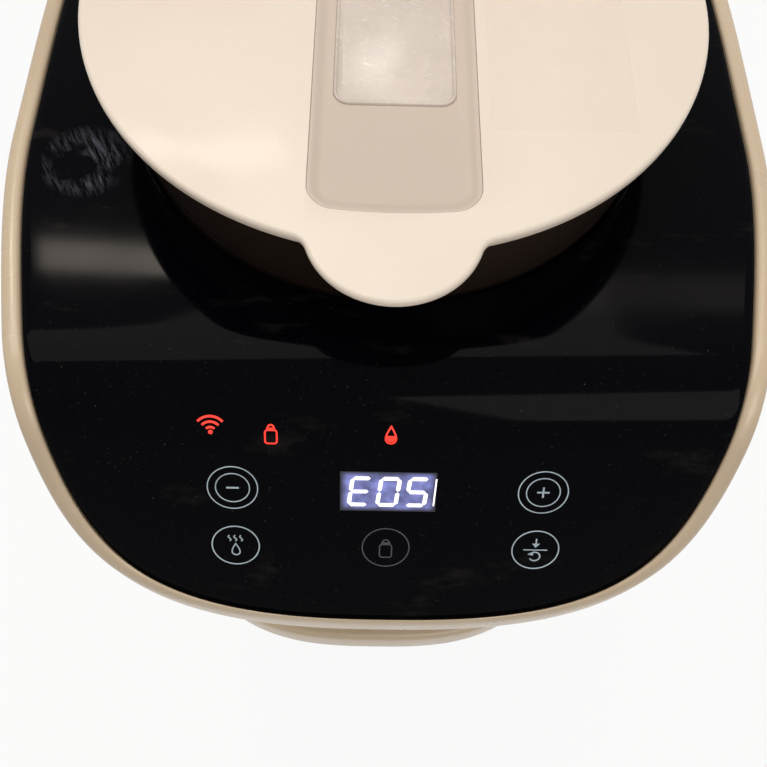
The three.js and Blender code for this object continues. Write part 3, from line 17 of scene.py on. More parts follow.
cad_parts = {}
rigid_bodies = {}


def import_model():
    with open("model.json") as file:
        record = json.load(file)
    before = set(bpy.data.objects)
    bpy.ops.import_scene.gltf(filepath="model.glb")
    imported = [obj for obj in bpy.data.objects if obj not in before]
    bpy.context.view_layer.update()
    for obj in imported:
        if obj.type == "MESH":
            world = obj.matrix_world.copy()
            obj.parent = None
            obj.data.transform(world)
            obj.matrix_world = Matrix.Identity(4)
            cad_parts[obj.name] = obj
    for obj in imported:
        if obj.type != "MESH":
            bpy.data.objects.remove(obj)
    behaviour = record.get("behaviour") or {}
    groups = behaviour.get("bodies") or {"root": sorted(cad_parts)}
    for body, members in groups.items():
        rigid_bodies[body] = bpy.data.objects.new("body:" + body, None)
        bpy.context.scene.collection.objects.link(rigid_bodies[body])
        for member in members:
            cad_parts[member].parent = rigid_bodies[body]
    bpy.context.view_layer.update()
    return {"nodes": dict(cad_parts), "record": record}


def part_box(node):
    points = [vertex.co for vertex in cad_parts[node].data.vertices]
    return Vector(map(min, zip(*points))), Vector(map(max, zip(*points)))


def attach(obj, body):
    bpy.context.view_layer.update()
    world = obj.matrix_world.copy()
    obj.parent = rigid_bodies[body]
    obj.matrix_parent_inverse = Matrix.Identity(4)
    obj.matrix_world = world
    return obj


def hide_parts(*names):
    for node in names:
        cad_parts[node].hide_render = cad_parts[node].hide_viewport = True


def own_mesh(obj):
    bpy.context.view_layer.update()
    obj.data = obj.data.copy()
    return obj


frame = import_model()

# %% [markdown]
# ## Sizes
#
# The sizes are millimetres, because that is how such a machine is measured, and they are
# turned into metres once, when a mesh is made. The plan of the machine is a superellipse.
# Its front half is flatter at the nose and drawn in by a seventh, and the side walls swell by
# a few millimetres at the height of the panel. The rim and the shells stand out less at the
# nose and at the back than they do at the sides.

# %% Sizes of the outer form
MM = 0.001
HALF_WIDTH, HALF_LENGTH = 106.0, 150.5
BACK_POWER, FRONT_WIDTH_POWER, FRONT_LENGTH_POWER = 3.1, 2.55, 10.7
TAPER, TAPER_START, TAPER_END = 0.149, 23.0, 143.0
BULGE, BULGE_START, BULGE_PEAK, BULGE_END = 3.5, 60.0, 245.0, 300.0
BULGE_FRONT, BULGE_BACK = -92.0, -10.0
PANEL_TOP, PANEL_THICKNESS, PANEL_BACK = 286.0, 2.5, 88.0
SLOPE = math.radians(54.6)
SLOPE_CORNER, BEND_RADIUS = 106.5, 32.0
GAP = 0.3
RIM_OUTER, RIM_DEPTH, INNER_OFFSET, END_SLIM = 5.5, 5.0, 3.0, 4.0
REAR_BACK = 94.0
HEAD_BOTTOM = 211.0
BASE_TOP, FOOT_HEIGHT = 24.0, 4.0
COLUMN_FRONT, COLUMN_CORNER = 22.0, 18.0
KEY_Y = 135.3
LID_TOP = 320.2
print("slope of the touch panel:", round(math.degrees(SLOPE), 1), "degrees")

# %% [markdown]
# ## The plan and the side view as functions
#
# Two curves shape the whole machine. `outline` walks round the plan at a given distance
# outside the panel's edge, and `top_height` gives the height of the top surface at a depth y:
# flat at the back, a bend, then the straight touch slope. Any point of a shell is then one
# plan distance and one lift off the top surface, so neighbours keep an even gap everywhere.

# %% Plan and side view
def ramp(value, low, high):
    """0 below low, 1 above high, and a smooth step between them."""
    share = np.clip((np.asarray(value, float) - low) / (high - low), 0, 1)
    return share * share * (3 - 2 * share)


def bulge_at(z):
    """How far the side walls swell at height z."""
    return BULGE * ramp(z, BULGE_START, BULGE_PEAK) * (1 - ramp(z, BULGE_PEAK, BULGE_END))


def half_width(y, across, offset, bulge):
    taper = HALF_WIDTH * TAPER * ramp(-y, TAPER_START, TAPER_END)
    swell = bulge * ramp(y, BULGE_FRONT, BULGE_BACK) * across
    return across * (HALF_WIDTH + offset - taper + swell)


def half_length(offset):
    """Half the length of a shell whose sides stand offset outside the panel."""
    return HALF_LENGTH + (offset - END_SLIM if offset > GAP else offset)


def bead_length(offset):
    """The same for the rim, which thins out towards the ends instead of stepping in."""
    slim = (RIM_OUTER - END_SLIM - GAP) / (RIM_OUTER - GAP)
    return HALF_LENGTH + (GAP + (offset - GAP) * slim if offset > GAP else offset)


def side_x(y, offset, bulge=0.0, length=half_length):
    """Half-width of the outline at depth y."""
    y = np.asarray(y, float)
    length_power = np.where(y < 0, FRONT_LENGTH_POWER, BACK_POWER)
    width_power = np.where(y < 0, FRONT_WIDTH_POWER, BACK_POWER)
    along = np.clip(np.abs(y) / length(offset), 0, 1)
    return half_width(y, (1 - along**length_power) ** (1 / width_power), offset, bulge)


def outline(turns, offset, bulge=0.0, length=half_length):
    """Points of the plan at the given turns, offset outside the panel's edge."""
    y = np.sin(turns) * length(offset)
    return np.sign(np.cos(turns)) * side_x(y, offset, bulge, length), y


def top_height(y, lift=0.0):
    """Height of the top surface at depth y, moved outwards by lift."""
    y = np.asarray(y, float)
    radius = BEND_RADIUS + lift
    bend_y = -(SLOPE_CORNER - BEND_RADIUS * math.tan(SLOPE / 2))
    centre_z = PANEL_TOP - BEND_RADIUS
    end_y = bend_y - radius * math.sin(SLOPE)
    end_z = centre_z + radius * math.cos(SLOPE)
    drop = np.clip(bend_y - y, 0, radius * math.sin(SLOPE))
    bend = centre_z + np.sqrt(radius**2 - drop**2)
    slope = end_z - (end_y - y) * math.tan(SLOPE)
    return np.where(y > bend_y, PANEL_TOP + lift, np.where(y > end_y, bend, slope))


def soft_limit(y, most, reach):
    """y kept under most, with a rounded corner of size reach."""
    share = np.clip(0.5 + 0.5 * (most - y) / reach, 0, 1)
    return y * share + most * (1 - share) - reach * share * (1 - share)


def even_turns(count, back, reach=12.0):
    """Turns that space the closed plan evenly when its back is cut straight at y = back."""
    near = np.pi / 2 - np.geomspace(np.pi / 2, 1e-5, 3000)
    quarter = np.concatenate([near, [np.pi / 2]])
    half = np.concatenate([quarter, np.pi - quarter[::-1]])
    dense = np.unique(np.concatenate([half, half + np.pi]))
    x, y = outline(dense, RIM_OUTER)
    y = soft_limit(y, back + RIM_OUTER, reach)
    walked = np.concatenate([[0], np.cumsum(np.hypot(np.diff(x), np.diff(y)))])
    return np.interp(np.linspace(0, walked[-1], count, endpoint=False), walked, dense)


print("height over the front edge:", round(float(top_height(-HALF_LENGTH)), 1), "mm")

# %% [markdown]
# ## Mesh tools
#
# Most shells here are the same kind of thing: a section that changes a little from station
# to station along a path. `skin` takes the points as one array, stations by section points,
# and joins neighbours into quads, so the mesh flows along the form. `prism` makes a plate
# from a plan, with rounded lower and upper edges. Corners sharper than a set angle are kept
# crisp and everything else is smooth.

# %% Mesh tools
def finish_mesh(bm, name, sharp=32.0):
    """Clean a bmesh, point its faces outwards and store it as an object at the origin."""
    bmesh.ops.remove_doubles(bm, verts=bm.verts, dist=1e-6)
    bmesh.ops.dissolve_degenerate(bm, edges=bm.edges, dist=1e-7)
    bmesh.ops.recalc_face_normals(bm, faces=bm.faces)
    limit = math.radians(sharp)
    for face in bm.faces:
        face.smooth = True
    for edge in bm.edges:
        edge.smooth = len(edge.link_faces) == 2 and edge.calc_face_angle(0.0) < limit
    mesh = bpy.data.meshes.new(name)
    bm.to_mesh(mesh)
    bm.free()
    piece = bpy.data.objects.new(name, mesh)
    bpy.context.scene.collection.objects.link(piece)
    return piece


def skin(name, points, round_path=True, round_section=True, sharp=32.0):
    """Join points[station, place, xyz], in millimetres, into one surface."""
    stations, places = points.shape[:2]
    bm = bmesh.new()
    grid = [[bm.verts.new(p * MM) for p in row] for row in points]
    for i in range(stations if round_path else stations - 1):
        here, there = grid[i], grid[(i + 1) % stations]
        for j in range(places if round_section else places - 1):
            k = (j + 1) % places
            bm.faces.new((here[j], there[j], there[k], here[k]))
    if not round_path and round_section:
        bm.faces.new(grid[0])
        bm.faces.new(grid[-1])
    if round_path and not round_section:
        bm.faces.new([row[0] for row in grid])
        bm.faces.new([row[-1] for row in grid])
    return finish_mesh(bm, name, sharp)


def inset_plan(plan, inset):
    """A closed anticlockwise plan moved inwards by inset."""
    before, after = np.roll(plan, 1, axis=0), np.roll(plan, -1, axis=0)
    ahead = after - plan
    behind = plan - before
    ahead /= np.linalg.norm(ahead, axis=1)[:, None]
    behind /= np.linalg.norm(behind, axis=1)[:, None]
    normal = np.stack([-(ahead + behind)[:, 1], (ahead + behind)[:, 0]], axis=1)
    normal /= np.linalg.norm(normal, axis=1)[:, None]
    spread = np.clip(np.sum(normal * np.stack([-ahead[:, 1], ahead[:, 0]], axis=1), axis=1), 0.5, 1)
    return plan + normal * (inset / spread)[:, None]


def edge_steps(radius, steps=4):
    """Inset and drop of the points that round one edge, from the side to the flat."""
    turns = np.linspace(0, math.pi / 2, steps + 1)
    return [(radius * (1 - math.cos(t)), radius * (1 - math.sin(t))) for t in turns]


def prism(name, plan, bottom, top, low_round=0.3, high_round=0.3, sharp=32.0):
    """A plate over a plan, its lower and upper edges rounded."""
    rows = [(inset, bottom + rise) for inset, rise in reversed(edge_steps(low_round))]
    rows += [(inset, top - drop) for inset, drop in edge_steps(high_round)]
    return stacked(name, plan, rows, sharp)


def stacked(name, plan, rows, sharp=32.0):
    """A solid over a plan, given row by row as (inset, height) from the bottom up."""
    rings = []
    for inset, z in rows:
        ring = inset_plan(plan, inset)
        rings.append(np.column_stack([ring, np.full(len(ring), z)]))
    return skin(name, np.stack(rings, axis=1), round_section=False, sharp=sharp)


def lathe(name, profile, x=0.0, y=0.0, steps=160, closed=True, sharp=32.0):
    """Turn a profile of (radius, height) round an upright axis."""
    turns = np.linspace(0, 2 * math.pi, steps, endpoint=False)
    points = np.array([
        [(x + r * math.cos(t), y + r * math.sin(t), z) for r, z in profile] for t in turns
    ])
    return skin(name, points, round_section=closed, sharp=sharp)


def arc_points(x, y, radius, start, stop, steps):
    turns = np.radians(np.linspace(start, stop, steps + 1))
    return np.column_stack([x + radius * np.cos(turns), y + radius * np.sin(turns)])


def rounded_plan(x0, x1, y0, y1, corner, steps=8):
    """A rectangle with round corners, anticlockwise."""
    return np.concatenate([
        arc_points(x1 - corner, y0 + corner, corner, -90, 0, steps),
        arc_points(x1 - corner, y1 - corner, corner, 0, 90, steps),
        arc_points(x0 + corner, y1 - corner, corner, 90, 180, steps),
        arc_points(x0 + corner, y0 + corner, corner, 180, 270, steps),
    ])


def combine(piece, cutters, operation="DIFFERENCE"):
    """Cut pieces out of a piece, or join them to it, and drop them."""
    for cutter in cutters:
        modifier = piece.modifiers.new("combine", "BOOLEAN")
        modifier.operation = operation
        modifier.solver = "EXACT"
        modifier.object = cutter
        graph = bpy.context.evaluated_depsgraph_get()
        mesh = bpy.data.meshes.new_from_object(piece.evaluated_get(graph))
        piece.modifiers.clear()
        old, piece.data = piece.data, mesh
        bpy.data.meshes.remove(old)
        gone = cutter.data
        bpy.data.objects.remove(cutter)
        bpy.data.meshes.remove(gone)
    bm = bmesh.new()
    bm.from_mesh(piece.data)
    name = piece.name
    bpy.data.objects.remove(piece)
    made = finish_mesh(bm, name + "_made")
    made.name = name
    return made


def block(x0, x1, y0, y1, z0, z1):
    """A plain box, only used to cut."""
    bm = bmesh.new()
    bmesh.ops.create_cube(bm, size=1.0)
    for vert in bm.verts:
        low, high = np.array([x0, y0, z0]), np.array([x1, y1, z1])
        vert.co = Vector((low + (high - low) * (np.array(vert.co) + 0.5)) * MM)
    return finish_mesh(bm, "block")


def rod_y(radius, y0, y1, x, z, steps=48):
    """A round bar along y, only used to cut or to join."""
    turns = np.linspace(0, 2 * math.pi, steps, endpoint=False)
    points = np.array([
        [(x + radius * math.cos(t), y, z + radius * math.sin(t)) for y in (y0, y1)] for t in turns
    ])
    return skin("rod", points, round_section=False)


def rod_x(radius, x0, x1, y, z, steps=48, rounding=0.0):
    """A bar along x with rounded ends."""
    turns = np.linspace(0, 2 * math.pi, steps, endpoint=False)
    rows = [(inset, x0 + rise) for inset, rise in reversed(edge_steps(rounding))] if rounding else [(0, x0)]
    rows += [(inset, x1 - drop) for inset, drop in edge_steps(rounding)] if rounding else [(0, x1)]
    points = np.array([
        [(x, y + (radius - i) * math.cos(t), z + (radius - i) * math.sin(t)) for i, x in rows]
        for t in turns
    ])
    return skin("rod", points, round_section=False)


def measure(piece):
    corners = np.array([v.co for v in piece.data.vertices]) / MM
    low, high = corners.min(axis=0).round(1), corners.max(axis=0).round(1)
    print(f"{piece.name}: {len(piece.data.polygons)} faces, {low} to {high}")
    return piece


print("mesh tools ready")

# %% [markdown]
# ## Shader tools
#
# A material is a small program. `Value` wraps one number on a socket, so that shader maths can
# be written as ordinary Python, and `Paint.node` makes every other node: its settings first,
# then the values or links of its sockets. `Paint` also offers the few patterns that several
# materials share, all read from Object coordinates so they stay on the piece when it moves.

# %% Shader tools
class Value:
    """A number in a node tree that takes part in Python expressions."""

    def __init__(self, paint, socket):
        self.paint, self.socket = paint, socket

    def maths(self, operation, first, second):
        made = self.paint.node("ShaderNodeMath", {"operation": operation}, {0: first, 1: second})
        return Value(self.paint, made.outputs[0])

    def __add__(self, other):
        return self.maths("ADD", self, other)

    def __sub__(self, other):
        return self.maths("SUBTRACT", self, other)

    def __mul__(self, other):
        return self.maths("MULTIPLY", self, other)

    def __abs__(self):
        return self.maths("ABSOLUTE", self, 0.0)


class Tree:
    """A node tree that grows by one method."""

    def node(self, kind, settings, sockets):
        """Make a node, apply its settings, then set or link its inputs."""
        made = self.tree.nodes.new(kind)
        for name, value in settings.items():
            setattr(made, name, value)
        for name, value in sockets.items():
            value = value.socket if isinstance(value, Value) else value
            if isinstance(value, bpy.types.NodeSocket):
                self.tree.links.new(value, made.inputs[name])
            else:
                made.inputs[name].default_value = value
        return made


class Paint(Tree):
    """A new material with its shader, and the patterns that the materials here share."""

    def __init__(self, name, **sockets):
        self.material = bpy.data.materials.new(name)
        self.material.use_nodes = True
        self.tree = self.material.node_tree
        self.tree.nodes.clear()
        self.shader = self.node("ShaderNodeBsdfPrincipled", {}, sockets)
        self.output = self.node("ShaderNodeOutputMaterial", {}, {"Surface": self.shader.outputs[0]})
        self.place = self.node("ShaderNodeTexCoord", {}, {}).outputs["Object"]

    def feed(self, **sockets):
        """Link or set the shader's inputs."""
        for name, value in sockets.items():
            target = self.shader.inputs[name.replace("_", " ")]
            value = value.socket if isinstance(value, Value) else value
            if isinstance(value, bpy.types.NodeSocket):
                self.tree.links.new(value, target)
            else:
                target.default_value = value
        return self

    def mapped(self, scale=(1, 1, 1), turn=(0, 0, 0), shift=(0, 0, 0)):
        made = self.node("ShaderNodeMapping", {}, {
            "Vector": self.place, "Scale": scale, "Rotation": turn, "Location": shift,
        })
        return made.outputs[0]

    def noise(self, scale, detail=3.0, roughness=0.5, where=None, distortion=0.0):
        made = self.node("ShaderNodeTexNoise", {}, {
            "Vector": where or self.place, "Scale": scale, "Detail": detail,
            "Roughness": roughness, "Distortion": distortion,
        })
        return Value(self, made.outputs["Fac"])

    def axes(self, where=None):
        made = self.node("ShaderNodeSeparateXYZ", {}, {0: where or self.place})
        return [Value(self, made.outputs[i]) for i in range(3)]

    def blend(self, share, low, high):
        """Mix two colours by a number."""
        made = self.node(
            "ShaderNodeMix", {"data_type": "RGBA"}, {0: share, 6: low, 7: high}
        )
        return made.outputs[2]

    def spread(self, share, low, high, stop_low=0.0, stop_high=1.0):
        """Map a number from one range to another, kept inside it."""
        made = self.node("ShaderNodeMapRange", {"clamp": True}, {
            "Value": share, "From Min": stop_low, "From Max": stop_high, "To Min": low, "To Max": high,
        })
        return Value(self, made.outputs[0])

    def bump(self, height, strength, distance=0.0004, under=None):
        sockets = {"Height": height, "Strength": strength, "Distance": distance}
        if under is not None:
            sockets["Normal"] = under
        return self.node("ShaderNodeBump", {}, sockets).outputs[0]


def srgb(red, green, blue, alpha=1.0):
    """A colour given as 0 to 255 steps, as linear light."""
    steps = [v / 255 for v in (red, green, blue)]
    light = [v / 12.92 if v <= 0.04045 else ((v + 0.055) / 1.055) ** 2.4 for v in steps]
    return (*light, alpha)


print("shader tools ready")

# %% [markdown]
# ## Materials
#
# The machine is moulded plastic: a warm cream body with a satin gloss, a whiter lid, a greyer
# insert in the lid, clear and smoked clear parts, and a glossy black touch panel. Moulded
# plastic is never one flat tone. Here it has a fine texture from the mould, a slow waviness that
# bends the reflections and small changes of gloss where it was wiped; the dust in its corners is not drawn.

# %% Plastic materials
def plastic(name, colour, deep, gloss=0.34, grain=0.05, wave=0.03, coat=0.12):
    """Moulded plastic: a colour that drifts a little, fine mould grain and wiped gloss."""
    paint = Paint(name, Roughness=gloss)
    drift = paint.noise(9.0, 4.0)
    speck = paint.noise(900.0, 2.0)
    wiped = paint.noise(26.0, 5.0, 0.6, paint.mapped(scale=(1.0, 1.0, 0.35)))
    colour_out = paint.blend(paint.spread(drift + (speck - 0.5) * 0.15, 0.0, 1.0, 0.35, 0.7), deep, colour)
    roughness = paint.spread(wiped, gloss - 0.06, gloss + 0.08, 0.3, 0.75)
    slow = paint.bump(paint.noise(14.0, 1.0), wave, 0.002)
    fine = paint.bump(paint.noise(2600.0, 1.0), grain, 0.0001, slow)
    paint.feed(Base_Color=colour_out, Roughness=roughness, Normal=fine, Coat_Weight=coat, Coat_Roughness=0.12)
    return paint.material


def clear(name, colour, alpha, gloss=0.08, scratched=0.0):
    """See-through plastic: thin walls let light pass, edges and scratches catch it."""
    paint = Paint(name)
    paint.material.surface_render_method = "BLENDED"
    scratch = paint.noise(50.0, 4.0, 0.6, paint.mapped(scale=(11.0, 2.0, 1.5), turn=(0.4, 0.3, 0.5)))
    scratch = paint.spread(scratch, 0.0, 1.0, 0.7, 0.8)
    haze = paint.noise(22.0, 3.0)
    rough = paint.spread(haze, gloss, gloss + 0.05 + 0.2 * scratched, 0.35, 0.75) + scratch * 0.1
    opacity = paint.spread(haze, alpha, min(1.0, alpha + 0.04 + 0.1 * scratched), 0.35, 0.75) + scratch * 0.05
    normal = paint.bump(haze + scratch * 0.2, 0.04 + 0.1 * scratched, 0.0004)
    paint.feed(Base_Color=colour, Roughness=rough, Alpha=opacity, Normal=normal, IOR=1.49)
    return paint.material


def make_window_plastic():
    """Milky window, scuffed by cloths: fine scratches run in arcs round three near places."""
    paint = Paint("scuffed_window").feed(Coat_Weight=0.3, Coat_Roughness=0.08)
    haze, grain = paint.noise(40.0, 4.0, 0.6), paint.noise(700.0, 2.0)
    scratch = None
    for x0, y0, pitch in ((-0.006, -0.022, 900.0), (0.002, -0.012, 700.0), (-0.012, -0.03, 800.0)):
        x, y, _ = paint.axes(paint.mapped(shift=(-x0, -y0, 0.0)))
        away = (x * x + y * y).maths("SQRT", x * x + y * y, 0.0)
        around = y.maths("ARCTAN2", y, x)
        polar = {0: (away * pitch).socket, 1: (around * 2.2).socket}
        ring = paint.node("ShaderNodeCombineXYZ", {}, polar).outputs[0]
        lines = paint.spread(paint.noise(1.6, 3.0, 0.6, ring), 0.0, 1.0, 0.62, 0.7)
        scratch = lines if scratch is None else scratch + lines
    tone = paint.spread(haze + (grain - 0.5) * 0.2, 0.0, 1.0, 0.3, 0.75)
    colour = paint.blend(tone, srgb(214, 201, 190), srgb(230, 217, 207))
    colour = paint.blend(scratch * 0.3, colour, srgb(250, 242, 234))
    paint.feed(
        Base_Color=colour, Roughness=paint.spread(haze, 0.16, 0.3, 0.3, 0.7) + scratch * 0.15,
        Alpha=paint.spread(haze, 0.93, 0.99, 0.3, 0.7), Normal=paint.bump(scratch, 0.3, 0.0001),
    )
    return paint.material


cream = plastic("satin_cream", srgb(226, 207, 178), srgb(216, 195, 165), 0.33)
cream_rim = plastic("satin_cream_rim", srgb(214, 194, 166), srgb(205, 184, 155), 0.3, 0.0)
lid_white = plastic("satin_white", srgb(246, 234, 220), srgb(238, 224, 209), 0.36)
insert_grey = plastic("satin_grey", srgb(216, 201, 187), srgb(208, 192, 178), 0.42)
white_plastic = plastic("matt_white", srgb(236, 234, 228), srgb(224, 221, 214), 0.42)
dark_plastic = plastic("matt_dark", srgb(44, 44, 47), srgb(33, 33, 36), 0.5, 0.12)
clear_plastic = clear("clear_wall", srgb(232, 238, 240), 0.13)
smoke_plastic = clear("smoked_wall", srgb(50, 40, 34), 0.84, 0.12, 0.3)
window_plastic = make_window_plastic()
print("plastics:", cream.name, cream_rim.name, lid_white.name, insert_grey.name)

# %% [markdown]
# ## Rubber, metal, hose and board
#
# The inner pieces need a few more finishes. Brushed steel stretches its noise along one
# direction, rubber is dull and grainy, the hose is milky silicone, and the board is green
# lacquer with slightly raised copper tracks that run in straight lines.

# %% More materials
def metal(name, colour, deep, gloss, stretch):
    paint = Paint(name, Metallic=1.0)
    brushed = paint.noise(420.0, 3.0, 0.6, paint.mapped(scale=stretch))
    stain = paint.noise(30.0, 3.0)
    paint.feed(
        Base_Color=paint.blend(paint.spread(stain + brushed * 0.3, 0.0, 1.0, 0.4, 0.95), deep, colour),
        Roughness=paint.spread(brushed, gloss - 0.06, gloss + 0.12, 0.3, 0.7),
        Normal=paint.bump(brushed, 0.08, 0.0001),
    )
    return paint.material


def make_rubber():
    paint = Paint("dull_rubber")
    grain, dust = paint.noise(1800.0, 2.0), paint.noise(45.0, 4.0)
    paint.feed(
        Base_Color=paint.blend(paint.spread(dust, 0.0, 1.0, 0.45, 0.75), srgb(78, 79, 83), srgb(98, 98, 100)),
        Roughness=paint.spread(grain, 0.72, 0.92, 0.3, 0.7), Normal=paint.bump(grain, 0.2, 0.0002),
    )
    return paint.material


def make_board():
    """Green lacquer over straight copper tracks and small round pads."""
    paint = Paint("lacquered_board")
    tracks = paint.node("ShaderNodeTexBrick", {"offset": 0.5}, {
        "Vector": paint.mapped(scale=(140, 140, 140)), "Color1": (1, 1, 1, 1), "Color2": (0.8, 0.8, 0.8, 1),
        "Mortar": (0, 0, 0, 1), "Scale": 1.0, "Mortar Size": 0.06, "Brick Width": 0.9, "Row Height": 0.28,
    })
    raised = paint.spread(Value(paint, tracks.outputs["Fac"]), 0.0, 1.0)
    worn = paint.noise(70.0, 3.0)
    green = paint.blend(raised * 0.6 + worn * 0.25, srgb(28, 84, 52), srgb(70, 132, 84))
    paint.feed(
        Base_Color=green, Roughness=paint.spread(worn, 0.22, 0.4, 0.3, 0.7),
        Normal=paint.bump(raised, 0.4, 0.0001),
    )
    return paint.material


steel = metal("brushed_steel", srgb(190, 192, 196), srgb(150, 152, 158), 0.34, (1.0, 1.0, 0.05))
pin_steel = metal("ground_pin", srgb(205, 207, 210), srgb(168, 170, 175), 0.22, (0.04, 1.0, 1.0))
rubber, board = make_rubber(), make_board()
hose_plastic = clear("milky_silicone", srgb(226, 230, 226), 0.72, 0.35, 0.1)
black_parts = plastic("gloss_black", srgb(14, 14, 17), srgb(8, 8, 11), 0.16, 0.02, 0.02, 0.3)
print("inner finishes:", steel.name, rubber.name, board.name, hose_plastic.name)

# %% [markdown]
# ## Carrying a piece
#
# Every piece made here stands for one CAD node. `place` gives it its material, lets it ride on
# the node's body and hides the CAD mesh, which stays for collision.

# %% Place a piece
BODY_NODES = frame["record"]["behaviour"]["bodies"]
BODY_OF = {node: body for body, nodes in BODY_NODES.items() for node in nodes}


def place(piece, node, material, slot):
    piece.name = node + "_visual"
    piece.data.materials.clear()
    piece.data.materials.append(material)
    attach(piece, BODY_OF[node])
    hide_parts(node)
    return measure(piece)


print(len(BODY_OF), "nodes have a body")

# %% [markdown]
# ## The touch panel
#
# One glossy sheet covers the top and folds down over the front. It is a ring of quads between
# the round well for the powder house and the outline, dense enough for the bend to be smooth
# in reflections. Its outer edge has a narrow sloping land and a round corner: that land is
# what draws the thin bright line just inside the edge.

# %% Touch panel
def closed_plan(turns, offset, reach=12.0):
    x, y = outline(turns, offset, 0.0, bead_length)
    return x, soft_limit(y, PANEL_BACK + offset, reach)


panel_turns = even_turns(420, PANEL_BACK)
HOUSE_LOW, HOUSE_HIGH, HOUSE_FLOOR, HOUSE_TOP = 70.0, 82.0, 228.0, 317.0


def house_radius(z):
    return HOUSE_LOW + (HOUSE_HIGH - HOUSE_LOW) * (z - HOUSE_FLOOR) / (HOUSE_TOP - HOUSE_FLOOR)


well_radius = house_radius(PANEL_TOP) + 1.4


def make_top_panel():
    edge_x, edge_y = closed_plan(panel_turns, -1.8)
    length = np.hypot(edge_x, edge_y)
    rows = []

    def ring_between(share, lift, inset=0.0):
        near = well_radius + inset
        x = edge_x * (near / length * (1 - share) + share)
        y = edge_y * (near / length * (1 - share) + share)
        rows.append(np.column_stack([x, y, top_height(y, lift)]))

    ring_between(0.0, -0.5)
    ring_between(0.0, -0.12, 0.12)
    for share in np.linspace(0, 1, 34):
        ring_between(share, 0.0, 0.5)
    for offset, lift in ((-1.0, -0.06), (-0.45, -0.16), (-0.15, -0.35), (0.0, -0.7), (0.0, -PANEL_THICKNESS)):
        x, y = closed_plan(panel_turns, offset)
        rows.append(np.column_stack([x, y, top_height(y, lift)]))
    for share in np.linspace(1, 0, 12):
        ring_between(share, -PANEL_THICKNESS)
    return skin("top_panel", np.stack(rows, axis=1), sharp=60)


top_panel = make_top_panel()
measure(top_panel)

# %% [markdown]
# ## The rim bead
#
# A cream frame holds the panel: a rounded bead outside the sheet and a lip under it. Its
# section is given as distance outside the panel edge and lift off the top surface, and the
# same section runs round the whole plan, over the bend and across the back. Mouldings lean
# inwards a little so that they leave the mould: towards the front the outer face of the rim
# and of the head draws in as it goes down, so from above only the bead itself shows there.

# %% Rim bead
RIM_SECTION = [
    (4.3, -5.0), (5.0, -4.7), (5.4, -3.9), (5.5, -3.0), (5.5, -0.75), (5.42, -0.3), (5.2, 0.08), (4.85, 0.38), (4.3, 0.64),
    (3.6, 0.83), (2.8, 0.9), (2.0, 0.86), (1.3, 0.7), (0.8, 0.46), (0.45, 0.12), (0.3, -0.3),
    (0.3, -2.8), (-4.0, -2.8), (-4.0, -5.0),
]


RIM_DRAFT, HEAD_DRAFT = 0.9, 1.2


def frontness(y):
    """0 at the middle of the machine, 1 at its front."""
    return ramp(-np.asarray(y, float), 20.0, 90.0)


def make_top_rim():
    rows = []
    for offset, lift in RIM_SECTION:
        x, y = closed_plan(panel_turns, offset)
        if offset > 4.0:
            drawn = RIM_DRAFT * np.clip((-lift - 0.75) / (RIM_DEPTH - 0.75), 0, 1)
            share = frontness(y)
            in_x, in_y = closed_plan(panel_turns, offset - drawn)
            x, y = x + (in_x - x) * share, y + (in_y - y) * share
        rows.append(np.column_stack([x, y, top_height(y, lift)]))
    return skin("top_rim", np.stack(rows, axis=1), sharp=40)


place(make_top_rim(), "top_rim", cream_rim, "cream_rim")

# %% [markdown]
# ## Head and column
#
# The head and the column are thin shells that follow the swollen outline. Each station of a
# shell is one closed loop: up the outer face, over a small rounding, down the inner face. The
# ends at the rear panel are flat. The column turns its front corners with true arcs that run
# tangent into the sides, so no crease shows.

# %% Head and column shells
def wall_loop(outer, inner, bottom, top, levels, rounding=0.7):
    """One closed loop of a wall; outer and inner give x, y for a height."""
    height = top - bottom
    curve = min(rounding, 0.3 * height)
    loop = [(*outer(bottom, curve * 0.7), bottom), (*outer(bottom, curve * 0.25), bottom + curve * 0.35)]
    for share in np.linspace(0, 1, levels):
        z = bottom + curve + (height - 2 * curve) * share
        loop.append((*outer(z, 0.0), z))
    loop += [(*outer(top, curve * 0.25), top - curve * 0.35), (*outer(top, curve * 0.7), top)]
    loop += [(*inner, top), (*inner, bottom)]
    return loop


def make_head_shell():
    first = math.asin(REAR_BACK / half_length(INNER_OFFSET))
    turns = even_turns(420, PANEL_BACK)
    side = turns[(turns > np.pi - first + 0.02) & (turns < 2 * np.pi)]
    right = turns[(turns >= 0) & (turns < first - 0.02)]
    walk = np.concatenate([[np.pi - first], side, right, [first]])

    def at(turn, offset, bulge):
        x, y = outline(np.array([turn]), offset, bulge)
        x, y = float(x[0]), float(y[0])
        if y > REAR_BACK:
            x, y = math.copysign(float(side_x(REAR_BACK, offset, bulge)), x), REAR_BACK
        return x, y

    bottom = HEAD_BOTTOM + GAP
    loops = []
    for turn in walk:
        _, depth = at(turn, RIM_OUTER, 0.0)
        top = float(top_height(depth, -RIM_DEPTH - GAP))
        share = float(frontness(depth))

        def outer(z, inset, turn=turn, top=top, share=share):
            drawn = share * (RIM_DRAFT + HEAD_DRAFT * (top - z) / (top - bottom))
            return at(turn, RIM_OUTER - inset - drawn, float(bulge_at(z)))

        loops.append(wall_loop(outer, at(turn, INNER_OFFSET, 0.0), bottom, top, 14))
    return skin("head_shell", np.array(loops), round_path=False, sharp=50)


place(make_head_shell(), "head_shell", cream, "cream_shell")


